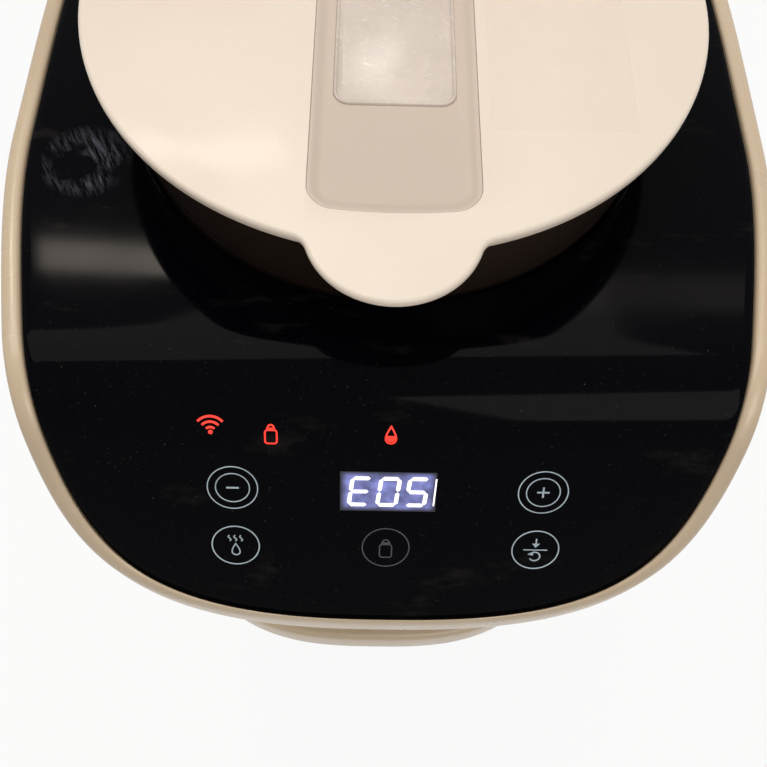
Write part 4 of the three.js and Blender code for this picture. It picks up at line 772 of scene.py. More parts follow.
def make_column_shell():
    bottom, top = BASE_TOP + GAP, HEAD_BOTTOM
    corner_y = COLUMN_CORNER - COLUMN_FRONT
    side_ys = np.linspace(REAR_BACK, corner_y, 30)
    bends = np.radians(np.linspace(0, -90, 13))[1:]

    def station(kind, value, offset, bulge):
        inset = RIM_OUTER - offset
        radius = COLUMN_CORNER - inset
        if kind == "side":
            return float(side_x(value, offset, bulge)), value
        centre = float(side_x(corner_y, offset, bulge)) - radius
        if kind == "bend":
            return centre + radius * math.cos(value), corner_y + radius * math.sin(value)
        return centre * value, inset - COLUMN_FRONT

    half = [("side", y) for y in side_ys] + [("bend", t) for t in bends]
    half += [("flat", share) for share in np.linspace(1, 0, 9)[1:]]
    loops = []
    for mirror, marks in ((1, half), (-1, half[-2::-1])):
        for kind, value in marks:
            def outer(z, inset, kind=kind, value=value, mirror=mirror):
                x, y = station(kind, value, RIM_OUTER - inset, float(bulge_at(z)))
                return mirror * x, y
            x, y = station(kind, value, INNER_OFFSET, 0.0)
            loops.append(wall_loop(outer, (mirror * x, y), bottom, top, 16))
    return skin("column_shell", np.array(loops), round_path=False, sharp=50)


column_shell = combine(make_column_shell(), [rod_y(5.3, -30.0, -10.0, 0.0, 120.0)])
column_shell = place(column_shell, "column_shell", cream, "cream_shell")

# %% [markdown]
# ## The base
#
# A low tub carries the drip tray, and steps up at the back to a deck for the water tank. Its
# nose is a superellipse: nearly flat in the middle, then turning more and more to the sides.
# Rounded prisms joined with booleans give its outer edges a soft corner.

# %% Base shell
BASE_HALF_WIDTH, BASE_HALF_LENGTH = 108.0, 152.0
NOSE_FRONT, NOSE_POWER = 117.9, 2.8
TANK_DECK, TANK_FRONT = 40.0, 94.6
TRAY = (-58.0, 58.0, -104.0, -27.0)
TRAY_CORNER, TRAY_DEPTH = 14.0, 12.0


def base_plan(inset, back_from=None):
    """Closed anticlockwise plan of the base, or of its raised rear part."""
    share = np.sin(np.linspace(-np.pi / 2, np.pi / 2, 121))
    start = 0.0
    if back_from is not None:
        start = math.asin((back_from / (BASE_HALF_LENGTH - inset)) ** (BACK_POWER / 2))
    turns = np.pi / 2 + share * (np.pi / 2 - start)
    across = np.abs(np.cos(turns)) ** (2 / BACK_POWER) * np.sign(np.cos(turns))
    along = np.abs(np.sin(turns)) ** (2 / BACK_POWER)
    rear = np.column_stack([across * (BASE_HALF_WIDTH - inset), along * (BASE_HALF_LENGTH - inset)])
    if back_from is not None:
        return rear[np.concatenate([[True], np.hypot(*np.diff(rear, axis=0).T) > 0.05])]
    turns = np.pi * 1.5 + share[1:-1] * np.pi / 2
    across = np.abs(np.cos(turns)) ** (2 / NOSE_POWER) * np.sign(np.cos(turns))
    along = np.abs(np.sin(turns)) ** (2 / NOSE_POWER)
    nose = np.column_stack([across * (BASE_HALF_WIDTH - inset), -along * (NOSE_FRONT - inset)])
    plan = np.concatenate([rear, nose])
    gaps = np.hypot(*(plan - np.roll(plan, 1, axis=0)).T)
    return plan[gaps > 0.05]


def tray_plan(grow):
    x0, x1, y0, y1 = TRAY
    return rounded_plan(x0 - grow, x1 + grow, y0 - grow, y1 + grow, TRAY_CORNER + grow)


def make_base_shell():
    low = FOOT_HEIGHT + GAP
    shell = prism("base_shell", base_plan(0.0), low, BASE_TOP, 0.8, 3.0)
    deck = prism("deck", base_plan(0.0, TANK_FRONT), low + 2.0, TANK_DECK, 0.5, 1.2)
    shell = combine(shell, [deck], "UNION")
    inside = prism("inside", base_plan(3.0), low - 2.0, BASE_TOP - 3.0)
    deck_inside = prism("deck_inside", base_plan(3.0, TANK_FRONT + 3.0), low - 3.0, TANK_DECK - 3.0)
    shell = combine(shell, [inside, deck_inside])
    floor = BASE_TOP - TRAY_DEPTH
    tub = prism("tub", tray_plan(3.0), floor - 3.0, BASE_TOP - 0.4, 1.0, 0.1)
    shell = combine(shell, [tub], "UNION")
    flare = prism("flare", tray_plan(1.3), BASE_TOP - 0.6, BASE_TOP + 5.0, 0.6, 0.1)
    recess = prism("recess", tray_plan(GAP), floor, BASE_TOP + 5.0, 0.8, 0.1)
    holes = [recess, flare]
    for x in (-34.0, 34.0):
        holes.append(block(x - 13.3, x + 13.3, 130.0, 170.0, 11.7, 30.3))
    low, high = np.array(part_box("dock_socket")) / MM
    radius = (high[0] - low[0]) / 2 + GAP
    centre = (low[1] + high[1]) / 2
    holes.append(prism("dock", arc_points(0, centre, radius, 0, 352.5, 47), 30.0, 45.0, 0.1, 0.1))
    return combine(shell, holes)


place(make_base_shell(), "base_shell", cream, "cream_shell")

# %% [markdown]
# ## The powder lid
#
# A round white lid with a finger tab. The plan is four arcs that run tangent into each other:
# the lid, a small fillet, the tab, and the fillet on the other side. The upper edge has a soft
# corner, the tab is thinner than the lid, and a long recess takes the grey strip. The strip
# is a shallow dish: its edge rises softly to the top of the lid. The window has a thin bead.

# %% Powder lid
LID_RADIUS, TAB_RADIUS, TAB_CENTRE, TAB_FILLET = 86.0, 22.0, 78.7, 5.0
LID_UNDER = HOUSE_TOP + GAP
STRIP, STRIP_BOW, WINDOW = (21.5, 74.0, 6.5), 1.6, (16.0, 41.0, 4.2)
STRIP_TOP = LID_TOP - 1.1
HINGE_Y, HINGE_Z = 86.2, LID_UNDER - 3.6


def lid_plan():
    reach_out, reach_tab = LID_RADIUS + TAB_FILLET, TAB_RADIUS + TAB_FILLET
    along = (reach_out**2 - reach_tab**2 + TAB_CENTRE**2) / (2 * TAB_CENTRE)
    aside = math.sqrt(reach_out**2 - along**2)
    lid = math.degrees(math.atan2(-along, aside))
    tab = math.degrees(math.atan2(TAB_CENTRE - along, aside))
    return np.concatenate([
        arc_points(0, 0, LID_RADIUS, lid, 180 - lid, 200)[:-1],
        arc_points(-aside, -along, TAB_FILLET, -lid, -tab, 10)[:-1],
        arc_points(0, -TAB_CENTRE, TAB_RADIUS, 180 - tab, 360 + tab, 60)[:-1],
        arc_points(aside, -along, TAB_FILLET, 180 + tab, 180 + lid, 10)[:-1],
    ])


def slab_plan(sizes, inset, steps=10):
    half, length, corner = sizes
    across, along = half - inset, length - inset
    return rounded_plan(-across, across, -along, along, max(corner - inset, 0.5), steps)


def strip_plan(inset):
    """Plan of the strip: its two ends bow outwards a little."""
    plan = slab_plan(STRIP, inset, 14)
    y = plan[:, 1]
    side = np.linspace(-STRIP[0] + STRIP[2], STRIP[0] - STRIP[2], 13)[1:-1]
    low = np.column_stack([side, np.full(11, y.min())])
    high = np.column_stack([side[::-1], np.full(11, y.max())])
    corner = len(plan) // 4
    plan = np.concatenate([plan[:2 * corner], high, plan[2 * corner:], low])
    plan[:, 1] += np.sign(plan[:, 1]) * STRIP_BOW * (1 - (plan[:, 0] / STRIP[0]) ** 2)
    return plan


def make_powder_lid():
    lid = prism("powder_lid", lid_plan(), LID_TOP - 2.0, LID_TOP, 0.5, 1.1)
    flange = prism("flange", arc_points(0, 0, LID_RADIUS, 0, 358, 179), LID_UNDER, LID_TOP - 1.2, 0.8, 0.1)
    plug = prism("plug", arc_points(0, 0, 75.0, 0, 357, 119), LID_UNDER - 6.0, LID_UNDER + 0.5, 0.6, 0.1)
    block_hinge = block(-13.5, 13.5, LID_RADIUS - 2.5, HINGE_Y, HINGE_Z, LID_TOP - 0.6)
    barrel = rod_x(3.2, -13.5, 13.5, HINGE_Y, HINGE_Z, rounding=0.4)
    lid = combine(lid, [flange, plug, barrel, block_hinge], "UNION")
    bore = prism("bore", arc_points(0, 0, 73.0, 0, 357, 119), LID_UNDER - 9.0, LID_UNDER, 0.1, 0.1)
    recess = prism("recess", strip_plan(0.0), STRIP_TOP - 1.5, LID_TOP + 5.0, 0.1, 0.1)
    hole = prism("hole", slab_plan(WINDOW, 0.0), 300.0, 330.0, 0.1, 0.1)
    swing = prism("swing", arc_points(0, 0, 82.3, 0, 357, 119), 290.0, LID_UNDER, 0.1, 0.1)
    swing = combine(swing, [prism("kept", arc_points(0, 0, 80.0, 0, 357, 119), 280.0, 330.0, 0.1, 0.1)])
    pin = rod_x(1.8, -40.0, 40.0, HINGE_Y, HINGE_Z)
    return combine(lid, [bore, recess, hole, swing, pin])


place(make_powder_lid(), "powder_lid", lid_white, "lid_white")

DISH = [
    (0.0, -1.2), (0.0, 0.85), (0.1, 1.02), (0.4, 1.07), (0.9, 1.0), (1.5, 0.76), (2.2, 0.4), (2.9, 0.13), (3.6, 0.0),
]
strip = stacked("lid_strip", strip_plan(0.07), [(inset, STRIP_TOP + rise) for inset, rise in DISH], 60)
strip = combine(strip, [prism("hole", slab_plan(WINDOW, 0.0), 300.0, 330.0, 0.1, 0.1)])
place(strip, "lid_strip", insert_grey, "grey_plastic")

BEAD = [
    (0.0, -1.4), (0.0, 0.3), (0.12, 0.6), (0.35, 0.75), (0.62, 0.7),
    (0.82, 0.45), (1.0, 0.12), (1.3, 0.0), (2.2, -0.05),
]
window = stacked("lid_window", slab_plan(WINDOW, 0.06), [(inset, STRIP_TOP + rise) for inset, rise in BEAD], 60)
place(window, "lid_window", window_plastic, "clear_plastic")

# %% [markdown]
# ## A film on the lid
#
# A thin clear film lies on the right half of the lid. It is a plate a tenth of a millimetre
# thick with round corners: hardly any colour, a little more gloss, and a fine bright rim.

# %% Clear film
def make_film_material():
    paint = Paint("thin_film", IOR=1.4)
    crease = paint.noise(34.0, 3.0, 0.5)
    paint.feed(
        Base_Color=srgb(250, 242, 232), Roughness=paint.spread(crease, 0.1, 0.2, 0.35, 0.7),
        Alpha=paint.spread(crease, 0.1, 0.16, 0.4, 0.75), Normal=paint.bump(crease, 0.05, 0.0003),
    )
    paint.material.surface_render_method = "BLENDED"
    return paint.material


film = prism("lid_film", rounded_plan(24.2, 62.0, -49.0, 22.0, 1.6), LID_TOP - 0.02, LID_TOP + 0.1, 0.02, 0.05)
film.data.materials.append(make_film_material())
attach(film, "lid")
measure(film)

# %% [markdown]
# ## The powder house
#
# The cup under the lid is smoked clear plastic: a tapered lathe form with a rounded floor
# edge, a plain rim and two ears that hold the hinge pin of the lid.

# %% Powder house
def make_powder_house():
    inside = HOUSE_HIGH - 2.5
    floor = HOUSE_FLOOR + 2.5
    cup = lathe("powder_house", [
        (9.0, HOUSE_FLOOR), (HOUSE_LOW - 2.5, HOUSE_FLOOR), (HOUSE_LOW - 1.1, HOUSE_FLOOR + 0.4),
        (HOUSE_LOW - 0.2, HOUSE_FLOOR + 1.4), (HOUSE_LOW + 0.2, HOUSE_FLOOR + 3.0),
        (HOUSE_HIGH - 0.4, HOUSE_TOP - 1.2), (HOUSE_HIGH - 0.5, HOUSE_TOP - 0.3), (HOUSE_HIGH - 0.9, HOUSE_TOP),
        (inside + 0.5, HOUSE_TOP), (inside, HOUSE_TOP - 0.5), (HOUSE_LOW - 2.3, floor + 2.0),
        (HOUSE_LOW - 2.9, floor + 0.6), (HOUSE_LOW - 4.2, floor), (4.2, floor), (4.2, HOUSE_FLOOR),
    ], steps=200)
    ears = []
    for x in (-17.8, 13.8):
        ears.append(block(x, x + 4.0, HOUSE_HIGH - 5.0, HINGE_Y, HINGE_Z - 3.2, HINGE_Z + 3.2))
        ears.append(rod_x(3.2, x, x + 4.0, HINGE_Y, HINGE_Z, rounding=0.4))
    cup = combine(cup, ears, "UNION")
    inner = prism("inner", arc_points(0, 0, inside - 0.6, 0, 357, 119), HOUSE_TOP - 12.0, 330.0, 0.1, 0.1)
    hole = prism("outlet", arc_points(0, -54.0, 9.0, 0, 350, 35), 220.0, 240.0, 0.1, 0.1)
    top_cut = prism("above", arc_points(0, 0, 95.0, 0, 357, 119), HOUSE_TOP, 330.0, 0.1, 0.1)
    pin = rod_x(1.8, -40.0, 40.0, HINGE_Y, HINGE_Z)
    return combine(cup, [inner, hole, top_cut, pin])


place(make_powder_house(), "powder_house", smoke_plastic, "smoke_plastic")

# %% [markdown]
# ## The water tank
#
# The tank closes the back of the machine and carries the same outline as the head, so its
# wall is again a swept loop. Its front is flat against the rear panel.

# %% Water tank
TANK_TOP = 278.0


def tank_plan(offset, front, bulge=0.0, corner=2.5):
    """Closed anticlockwise plan of the tank: flat in front, the outline behind."""
    start = math.asin(front / half_length(offset))
    share = np.linspace(-1, 1, 161)
    share = np.sign(share) * np.abs(share) ** 1.5
    x, y = outline(np.pi / 2 + share * (np.pi / 2 - start), offset, bulge)
    x, y = x[2:-2], y[2:-2]
    half = float(side_x(front, offset, bulge))
    line = np.linspace(-half + corner, half - corner, 41)
    return np.concatenate([np.column_stack([x, y]), np.column_stack([line, np.full(41, front)])])


def make_water_tank():
    rows = []
    heights = np.linspace(TANK_DECK + GAP + 2.0, TANK_TOP - 0.6, 22)
    for inset, rise in reversed(edge_steps(2.0)):
        rows.append((tank_plan(RIM_OUTER - inset, TANK_FRONT + inset), TANK_DECK + GAP + rise))
    for z in heights[1:]:
        rows.append((tank_plan(RIM_OUTER, TANK_FRONT, float(bulge_at(z))), z))
    rows.append((tank_plan(RIM_OUTER - 0.3, TANK_FRONT + 0.3, float(bulge_at(TANK_TOP))), TANK_TOP))
    rows.append((tank_plan(RIM_OUTER - 1.9, TANK_FRONT + 1.9, 1.0), TANK_TOP))
    inner = RIM_OUTER - 2.2
    for z in np.linspace(TANK_TOP - 0.5, TANK_DECK + 6.0, 10):
        rows.append((tank_plan(inner, TANK_FRONT + 2.2), z))
    rows.append((tank_plan(inner - 2.0, TANK_FRONT + 4.2), TANK_DECK + 3.0))
    rings = [np.column_stack([plan, np.full(len(plan), z)]) for plan, z in rows]
    tank = skin("water_tank", np.stack(rings, axis=1), round_section=False)
    return tank


tank_shell = measure(make_water_tank())

# %% [markdown]
# ## Ears, spout and float rod of the tank
#
# The shell of the tank gets its small parts: a bridge over the back wall with two ears for the
# lid's hinge pin, the spout that opens the valve in the base, and the rod that guides the
# float. They are joined by booleans, so the tank stays one moulding.

# %% Tank fittings
TANK_HINGE_Y, TANK_HINGE_Z, SPOUT_Y = 148.7, 281.3, 119.99


def make_tank_fittings(tank):
    parts = [block(-34.0, 34.0, TANK_HINGE_Y - 3.2, 150.8, TANK_TOP - 2.6, TANK_TOP - 0.4)]
    for x in (-34.0, 30.0):
        parts.append(block(x, x + 4.0, TANK_HINGE_Y - 3.0, TANK_HINGE_Y + 3.0, TANK_TOP - 1.0, TANK_HINGE_Z))
        parts.append(rod_x(3.2, x, x + 4.0, TANK_HINGE_Y, TANK_HINGE_Z, rounding=0.4))
    low = TANK_DECK + GAP
    parts.append(prism("spout", arc_points(0, SPOUT_Y, 7.0, 0, 350, 35), low - 7.0, low + 1.0, 0.6, 0.1))
    parts.append(prism("rod", arc_points(55.0, SPOUT_Y, 2.0, 0, 340, 17), low + 1.0, low + 34.0, 0.1, 0.3))
    parts.append(prism("stop", arc_points(55.0, SPOUT_Y, 4.0, 0, 345, 23), low + 32.0, low + 34.3, 0.4, 0.8))
    tank = combine(tank, parts, "UNION")
    bore = prism("bore", arc_points(0, SPOUT_Y, 5.0, 0, 350, 35), 20.0, low + 8.0, 0.1, 0.1)
    return combine(tank, [bore, rod_x(1.8, -50.0, 50.0, TANK_HINGE_Y, TANK_HINGE_Z)])


place(make_tank_fittings(tank_shell), "water_tank", clear_plastic, "clear_plastic")

# %% [markdown]
# ## The tank lid
#
# The lid repeats the plan of the tank, so it is a rounded prism again, with a low grip ridge
# at the front and a hinge barrel between the ears.

# %% Tank lid
def make_tank_lid():
    low, high = TANK_TOP + GAP, TANK_TOP + 6.3
    back = TANK_HINGE_Y - 3.8
    lid = prism("tank_lid", tank_plan(RIM_OUTER, TANK_FRONT), low, high, 0.6, 1.8)
    inside = inset_plan(tank_plan(RIM_OUTER - 3.1, TANK_FRONT + 3.9), 0.0)
    skirt = prism("skirt", inside, TANK_TOP - 6.0, low + 1.0, 0.5, 0.1)
    lid = combine(lid, [skirt], "UNION")
    hollow = prism("hollow", inset_plan(inside, 1.8), TANK_TOP - 9.0, low, 0.1, 0.1)
    lid = combine(lid, [hollow, block(-200, 200, back, 200, 200, 300)])
    ridge_plan = rounded_plan(-22, 22, TANK_FRONT + 3.8, TANK_FRONT + 8.2, 2.1, 6)
    ridge = prism("ridge", ridge_plan, low + 1, high + 3.0, 0.1, 1.6)
    barrel = rod_x(2.9, -29.7, 29.7, TANK_HINGE_Y, TANK_HINGE_Z, rounding=0.4)
    tongue = block(-29.7, 29.7, back - 1.0, TANK_HINGE_Y, TANK_HINGE_Z - 1.5, TANK_HINGE_Z + 1.5)
    lid = combine(lid, [ridge, barrel, tongue], "UNION")
    return combine(lid, [rod_x(1.8, -50.0, 50.0, TANK_HINGE_Y, TANK_HINGE_Z)])


place(make_tank_lid(), "tank_lid", smoke_plastic, "smoke_plastic")

# %% [markdown]
# ## What repeats: Geometry Nodes
#
# Slots, screws and grooves repeat, and a repeat is best stated as a rule: here is one, put it
# there, this many times. `Growth` builds such a rule as a node tree with named inputs, and
# `grow` runs it on a piece and keeps the result as a plain mesh.

# %% Growth trees
class Growth(Tree):
    """A Geometry Nodes tree that starts from a piece and named inputs."""

    def __init__(self, name, **inputs):
        self.tree = bpy.data.node_groups.new(name, "GeometryNodeTree")
        face = self.tree.interface
        face.new_socket("Geometry", in_out="INPUT", socket_type="NodeSocketGeometry")
        for title, kind in inputs.items():
            face.new_socket(title.replace("_", " "), in_out="INPUT", socket_type="NodeSocket" + kind)
        face.new_socket("Material", in_out="INPUT", socket_type="NodeSocketMaterial")
        face.new_socket("Geometry", in_out="OUTPUT", socket_type="NodeSocketGeometry")
        self.given = self.node("NodeGroupInput", {}, {}).outputs

    def vector(self, x, y=0.0, z=0.0):
        return self.node("ShaderNodeCombineXYZ", {}, {0: x, 1: y, 2: z}).outputs[0]

    def object(self, title):
        return self.node("GeometryNodeObjectInfo", {}, {"Object": self.given[title]}).outputs["Geometry"]

    def close(self, geometry):
        """Realise the instances, set the material and end the tree."""
        whole = self.node("GeometryNodeRealizeInstances", {}, {"Geometry": geometry})
        painted = self.node("GeometryNodeSetMaterial", {}, {
            "Geometry": whole.outputs[0], "Material": self.given["Material"],
        })
        self.node("NodeGroupOutput", {}, {0: painted.outputs[0]})
        return self


def grow(piece, growth, helpers=(), **inputs):
    """Run a tree on a piece, keep the mesh, and drop the helper objects."""
    modifier = piece.modifiers.new("growth", "NODES")
    modifier.node_group = growth.tree
    for item in growth.tree.interface.items_tree:
        title = item.name.replace(" ", "_")
        if item.in_out == "INPUT" and title in inputs:
            modifier[item.identifier] = inputs[title]
    graph = bpy.context.evaluated_depsgraph_get()
    graph.update()
    bm = bmesh.new()
    bm.from_mesh(bpy.data.meshes.new_from_object(piece.evaluated_get(graph)))
    name = piece.name
    for gone in (piece, *helpers):
        bpy.data.objects.remove(gone)
    made = finish_mesh(bm, name + "_grown")
    made.name = name
    return made


def make_slot_growth():
    """Cut rows of slots to both sides of the middle of a plate."""
    tree = Growth("slots", Slot="Object", Count="Int", Pitch="Float", First="Float")
    cuts = []
    for side in (-1.0, 1.0):
        step = tree.vector(Value(tree, tree.given["Pitch"]) * side)
        start = tree.vector(Value(tree, tree.given["First"]) * side)
        line = tree.node("GeometryNodeMeshLine", {}, {
            "Count": tree.given["Count"], "Start Location": start, "Offset": step,
        })
        cut = tree.node("GeometryNodeInstanceOnPoints", {}, {
            "Points": line.outputs[0], "Instance": tree.object("Slot"),
        })
        cuts.append(tree.node("GeometryNodeRealizeInstances", {}, {0: cut.outputs[0]}).outputs[0])
    cutting = {"operation": "DIFFERENCE", "solver": "EXACT"}
    row = tree.node("GeometryNodeMeshBoolean", cutting, {0: tree.given[0], 1: cuts[0]})
    row = tree.node("GeometryNodeMeshBoolean", cutting, {0: row.outputs[0], 1: cuts[1]})
    return tree.close(row.outputs[0])


def make_screw_growth():
    """Put a screw on every point, each turned at random, and keep the piece itself."""
    tree = Growth("screws", Screw="Object", Seed="Int")
    turn = tree.node(
        "FunctionNodeRandomValue", {"data_type": "FLOAT"}, {2: 0.0, 3: 6.28, "Seed": tree.given["Seed"]}
    )
    aim = tree.vector(0.0, 0.0, turn.outputs[1])
    put = tree.node("GeometryNodeInstanceOnPoints", {}, {
        "Points": tree.given[0], "Instance": tree.object("Screw"), "Rotation": aim,
    })
    return tree.close(put.outputs[0])


slot_growth, screw_growth = make_slot_growth(), make_screw_growth()
print("growth trees:", slot_growth.tree.name, screw_growth.tree.name)

# %% [markdown]
# ## Level ticks on the tank
#
# Short printed ticks on the back of the tank show how full it is. One tick is a thin rounded
# plate, and the tree sets it at even heights, every fifth one wider.

# %% Level ticks
def make_tick_growth():
    """Repeat a tick upwards, with a longer one at every fifth place."""
    tree = Growth("ticks", Tick="Object", Count="Int", Pitch="Float")
    step = tree.vector(0.0, 0.0, Value(tree, tree.given["Pitch"]))
    line = tree.node("GeometryNodeMeshLine", {}, {"Count": tree.given["Count"], "Offset": step})
    turn = Value(tree, tree.node("GeometryNodeInputIndex", {}, {}).outputs[0])
    fifth = turn.maths("MODULO", turn, 5.0).maths("LESS_THAN", turn.maths("MODULO", turn, 5.0), 0.5)
    size = tree.vector(fifth * 0.7 + 1.0, 1.0, 1.0)
    put = tree.node("GeometryNodeInstanceOnPoints", {}, {
        "Points": line.outputs[0], "Instance": tree.object("Tick"), "Scale": size,
    })
    return tree.close(put.outputs[0])


def make_level_ticks():
    tick = prism("tick", rounded_plan(-5.0, 5.0, -0.35, 0.35, 0.3, 4), 0.0, 0.1, 0.02, 0.04)
    tick.data.transform(Matrix.Rotation(-math.pi / 2, 4, "X"))
    seat = bpy.data.objects.new("level_ticks", bpy.data.meshes.new("seat"))
    bpy.context.scene.collection.objects.link(seat)
    ticks = grow(seat, make_tick_growth(), [tick], Tick=tick, Count=16, Pitch=0.0115, Material=white_plastic)
    y = float(outline(np.array([math.asin(0.9985)]), RIM_OUTER, 0.0)[1][0])
    ticks.data.transform(Matrix.Translation((0.0, (y - 0.02) * MM, 0.075)))
    ticks.data.materials.append(white_plastic)
    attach(ticks, "tank")
    return measure(ticks)


make_level_ticks()

# %% [markdown]
# ## Drip tray and grid
#
# The tray is a thin tub and the grid a plate with three slots to each side of a plain pad,
# where the bottle stands. The slots are grown, and their upper edges are softened by a second,
# wider and shallower cut.

# %% Drip tray and grid
def make_drip_tray():
    floor, top = BASE_TOP - TRAY_DEPTH + GAP, BASE_TOP - 2.4
    tub = prism("drip_tray", tray_plan(0.0), floor, top, 1.6, 0.4)
    return combine(tub, [prism("hollow", tray_plan(-1.6), floor + 1.6, top + 4.0, 1.2, 0.1)])


place(make_drip_tray(), "drip_tray", dark_plastic, "dark_plastic")


def make_drip_grid():
    low, high = BASE_TOP - 2.1, BASE_TOP + GAP
    plate = prism("drip_grid", tray_plan(0.0), low, high, 0.3, 0.7)
    middle, reach = (TRAY[2] + TRAY[3]) / 2, (TRAY[3] - TRAY[2]) / 2 - TRAY_CORNER / 2
    for half, from_z in ((2.0, low - 2.0), (2.5, high - 0.35)):
        span = reach + half - 2.0
        plan = rounded_plan(-half, half, middle - span, middle + span, half - 0.2, 8)
        slot = prism("slot", plan, from_z, high + 3.0, 0.1 if half < 2.2 else 0.34, 0.1)
        plate = grow(
            plate, slot_growth, [slot], Slot=slot, Count=3, Pitch=9.0 * MM, First=17.0 * MM, Material=insert_grey
        )
    return plate


place(make_drip_grid(), "drip_grid", insert_grey, "grey_plastic")

# %% [markdown]
# ## Feet, base plate and screws
#
# Four rubber feet are turned on a lathe with a groove round the side and a dished sole. The
# base plate follows the plan of the base and is held by six small crosshead screws, which are
# grown on six points. Their turns differ, as screws driven by hand do.

# %% Feet, base plate and screws
FOOT_SOLE = [
    (0.01, 0.9), (6.2, 0.9), (6.9, 0.3), (7.4, 0.0), (8.1, 0.0), (8.7, 0.4), (9.0, 1.1), (8.6, 1.8), (8.6, 2.3),
    (9.0, 2.9), (9.0, 4.0), (0.01, 4.0),
]


def make_foot(node):
    low, high = np.array(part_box(node)) / MM
    x, y = (low + high)[:2] / 2
    return lathe(node, FOOT_SOLE, x, y, steps=64)


def make_base_plate():
    low = FOOT_HEIGHT + GAP
    return prism("base_plate", base_plan(3.3), low, low + 2.0, 0.5, 0.3)


def make_screws():
    points = [(-88.0, -20.0), (88.0, -20.0), (-88.0, 92.0), (88.0, 92.0), (0.0, -100.0), (0.0, 60.0)]
    bm = bmesh.new()
    for x, y in points:
        bm.verts.new((x * MM, y * MM, (FOOT_HEIGHT + GAP) * MM))
    seats = bpy.data.objects.new("base_screws", bpy.data.meshes.new("seats"))
    bm.to_mesh(seats.data)
    bm.free()
    bpy.context.scene.collection.objects.link(seats)
    profile = [(0.01, -1.3), (1.6, -1.22), (2.6, -0.85), (3.1, -0.35), (3.2, 0.0), (0.01, 0.0)]
    head = lathe("screw", profile, steps=40)
    head = combine(head, [
        block(-1.9, 1.9, -0.35, 0.35, -3.0, -0.55), block(-0.35, 0.35, -1.9, 1.9, -3.0, -0.55),
    ])
    return grow(seats, screw_growth, [head], Screw=head, Seed=7, Material=steel)


for node in ("foot_1", "foot_2", "foot_3", "foot_4"):
    place(make_foot(node), node, rubber, "grey_rubber")
place(make_base_plate(), "base_plate", dark_plastic, "dark_plastic")
base_screws = make_screws()
base_screws.data.materials.append(steel)
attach(base_screws, "machine")
measure(base_screws)

# %% [markdown]
# ## Funnel, holder and underside
#
# The mixing funnel is clear and turned on a lathe. It hangs in a plate with a curved grip that
# slides out forwards. The underside of the head closes it round the chute and the nozzle.

# %% Funnel, holder and underside
FUNNEL_Y, FUNNEL_TOP = -60.0, 204.0
HOLDER = (-50.0, 50.0, -101.99, -25.0)


def make_mixing_funnel():
    neck = FUNNEL_TOP - 22.0
    return lathe("mixing_funnel", [
        (36.6, FUNNEL_TOP), (31.2, FUNNEL_TOP), (30.5, FUNNEL_TOP - 0.6), (5.0, neck + 0.6), (4.4, neck - 0.8),
        (4.4, neck - 8.0), (5.7, neck - 8.0), (6.0, neck - 7.6), (6.0, neck), (31.6, FUNNEL_TOP - 2.0),
        (36.6, FUNNEL_TOP - 2.0), (37.0, FUNNEL_TOP - 1.6), (37.0, FUNNEL_TOP - 0.4),
    ], 0.0, FUNNEL_Y, steps=120)


place(make_mixing_funnel(), "mixing_funnel", clear_plastic, "clear_plastic")


def make_funnel_holder():
    x0, x1, y0, y1 = HOLDER
    low = FUNNEL_TOP - 2.0 - GAP - 3.0
    plate = prism("funnel_holder", rounded_plan(x0, x1, y0, y1, 3.0), low, low + 3.0, 0.5, 0.5)
    grip = rounded_plan(x0, x1, y0 - 3.0, y0 + 0.3, 1.5)
    plate = combine(plate, [prism("grip", grip, low + 3.0 - 13.0, low + 5.0, 0.9, 0.9)], "UNION")
    hole = prism("hole", arc_points(0, FUNNEL_Y, 32.6, 0, 357, 119), low - 5, low + 9, 0.1, 0.1)
    flare = prism("flare", arc_points(0, FUNNEL_Y, 33.3, 0, 357, 119), low + 2.4, low + 9, 0.7, 0.1)
    return combine(plate, [hole, flare])


place(make_funnel_holder(), "funnel_holder", cream, "cream_shell")


def make_head_underside():
    low = HEAD_BOTTOM + GAP
    turns = even_turns(420, PANEL_BACK)
    front = turns[(turns > np.pi) & (turns < 2 * np.pi)]
    x, y = outline(front, INNER_OFFSET - GAP)
    kept = y < -20.0
    edge = float(side_x(-20.0, INNER_OFFSET - GAP))
    plan = np.vstack([[(-edge, -20.0)], np.column_stack([x, y])[kept], [(edge, -20.0)]])
    plate = prism("head_underside", plan, low, low + 2.5, 0.4, 0.2)
    holes = [prism("chute", arc_points(0, -54.0, 12.6, 0, 354, 59), low - 5, low + 9, 0.1, 0.1)]
    holes.append(prism("nozzle", arc_points(19.0, -73.0, 5.8, 0, 350, 35), low - 5, low + 9, 0.1, 0.1))
    return combine(plate, holes)


place(make_head_underside(), "head_underside", dark_plastic, "dark_plastic")

# %% [markdown]
# ## The bottle sensor
#
# A dark lens in the column sees whether a bottle stands on the grid. Its face is a low dome
# in a collar.

# %% Bottle sensor
def make_bottle_sensor():
    lens = lathe("bottle_sensor", [
        (0.01, -0.3), (1.6, -0.24), (3.0, -0.02), (3.6, 0.3), (4.0, 0.1), (4.5, -0.2), (4.9, -0.1), (5.0, 0.4),
        (5.0, 2.8), (7.3, 2.8), (7.5, 3.0), (7.5, 9.8), (7.3, 10.0), (0.01, 10.0),
    ], steps=80)
    seat = Matrix.Translation((0, -COLUMN_FRONT * MM, 0.12))
    lens.data.transform(seat @ Matrix.Rotation(-math.pi / 2, 4, "X"))
    return lens


place(make_bottle_sensor(), "bottle_sensor", black_parts, "black_gloss")

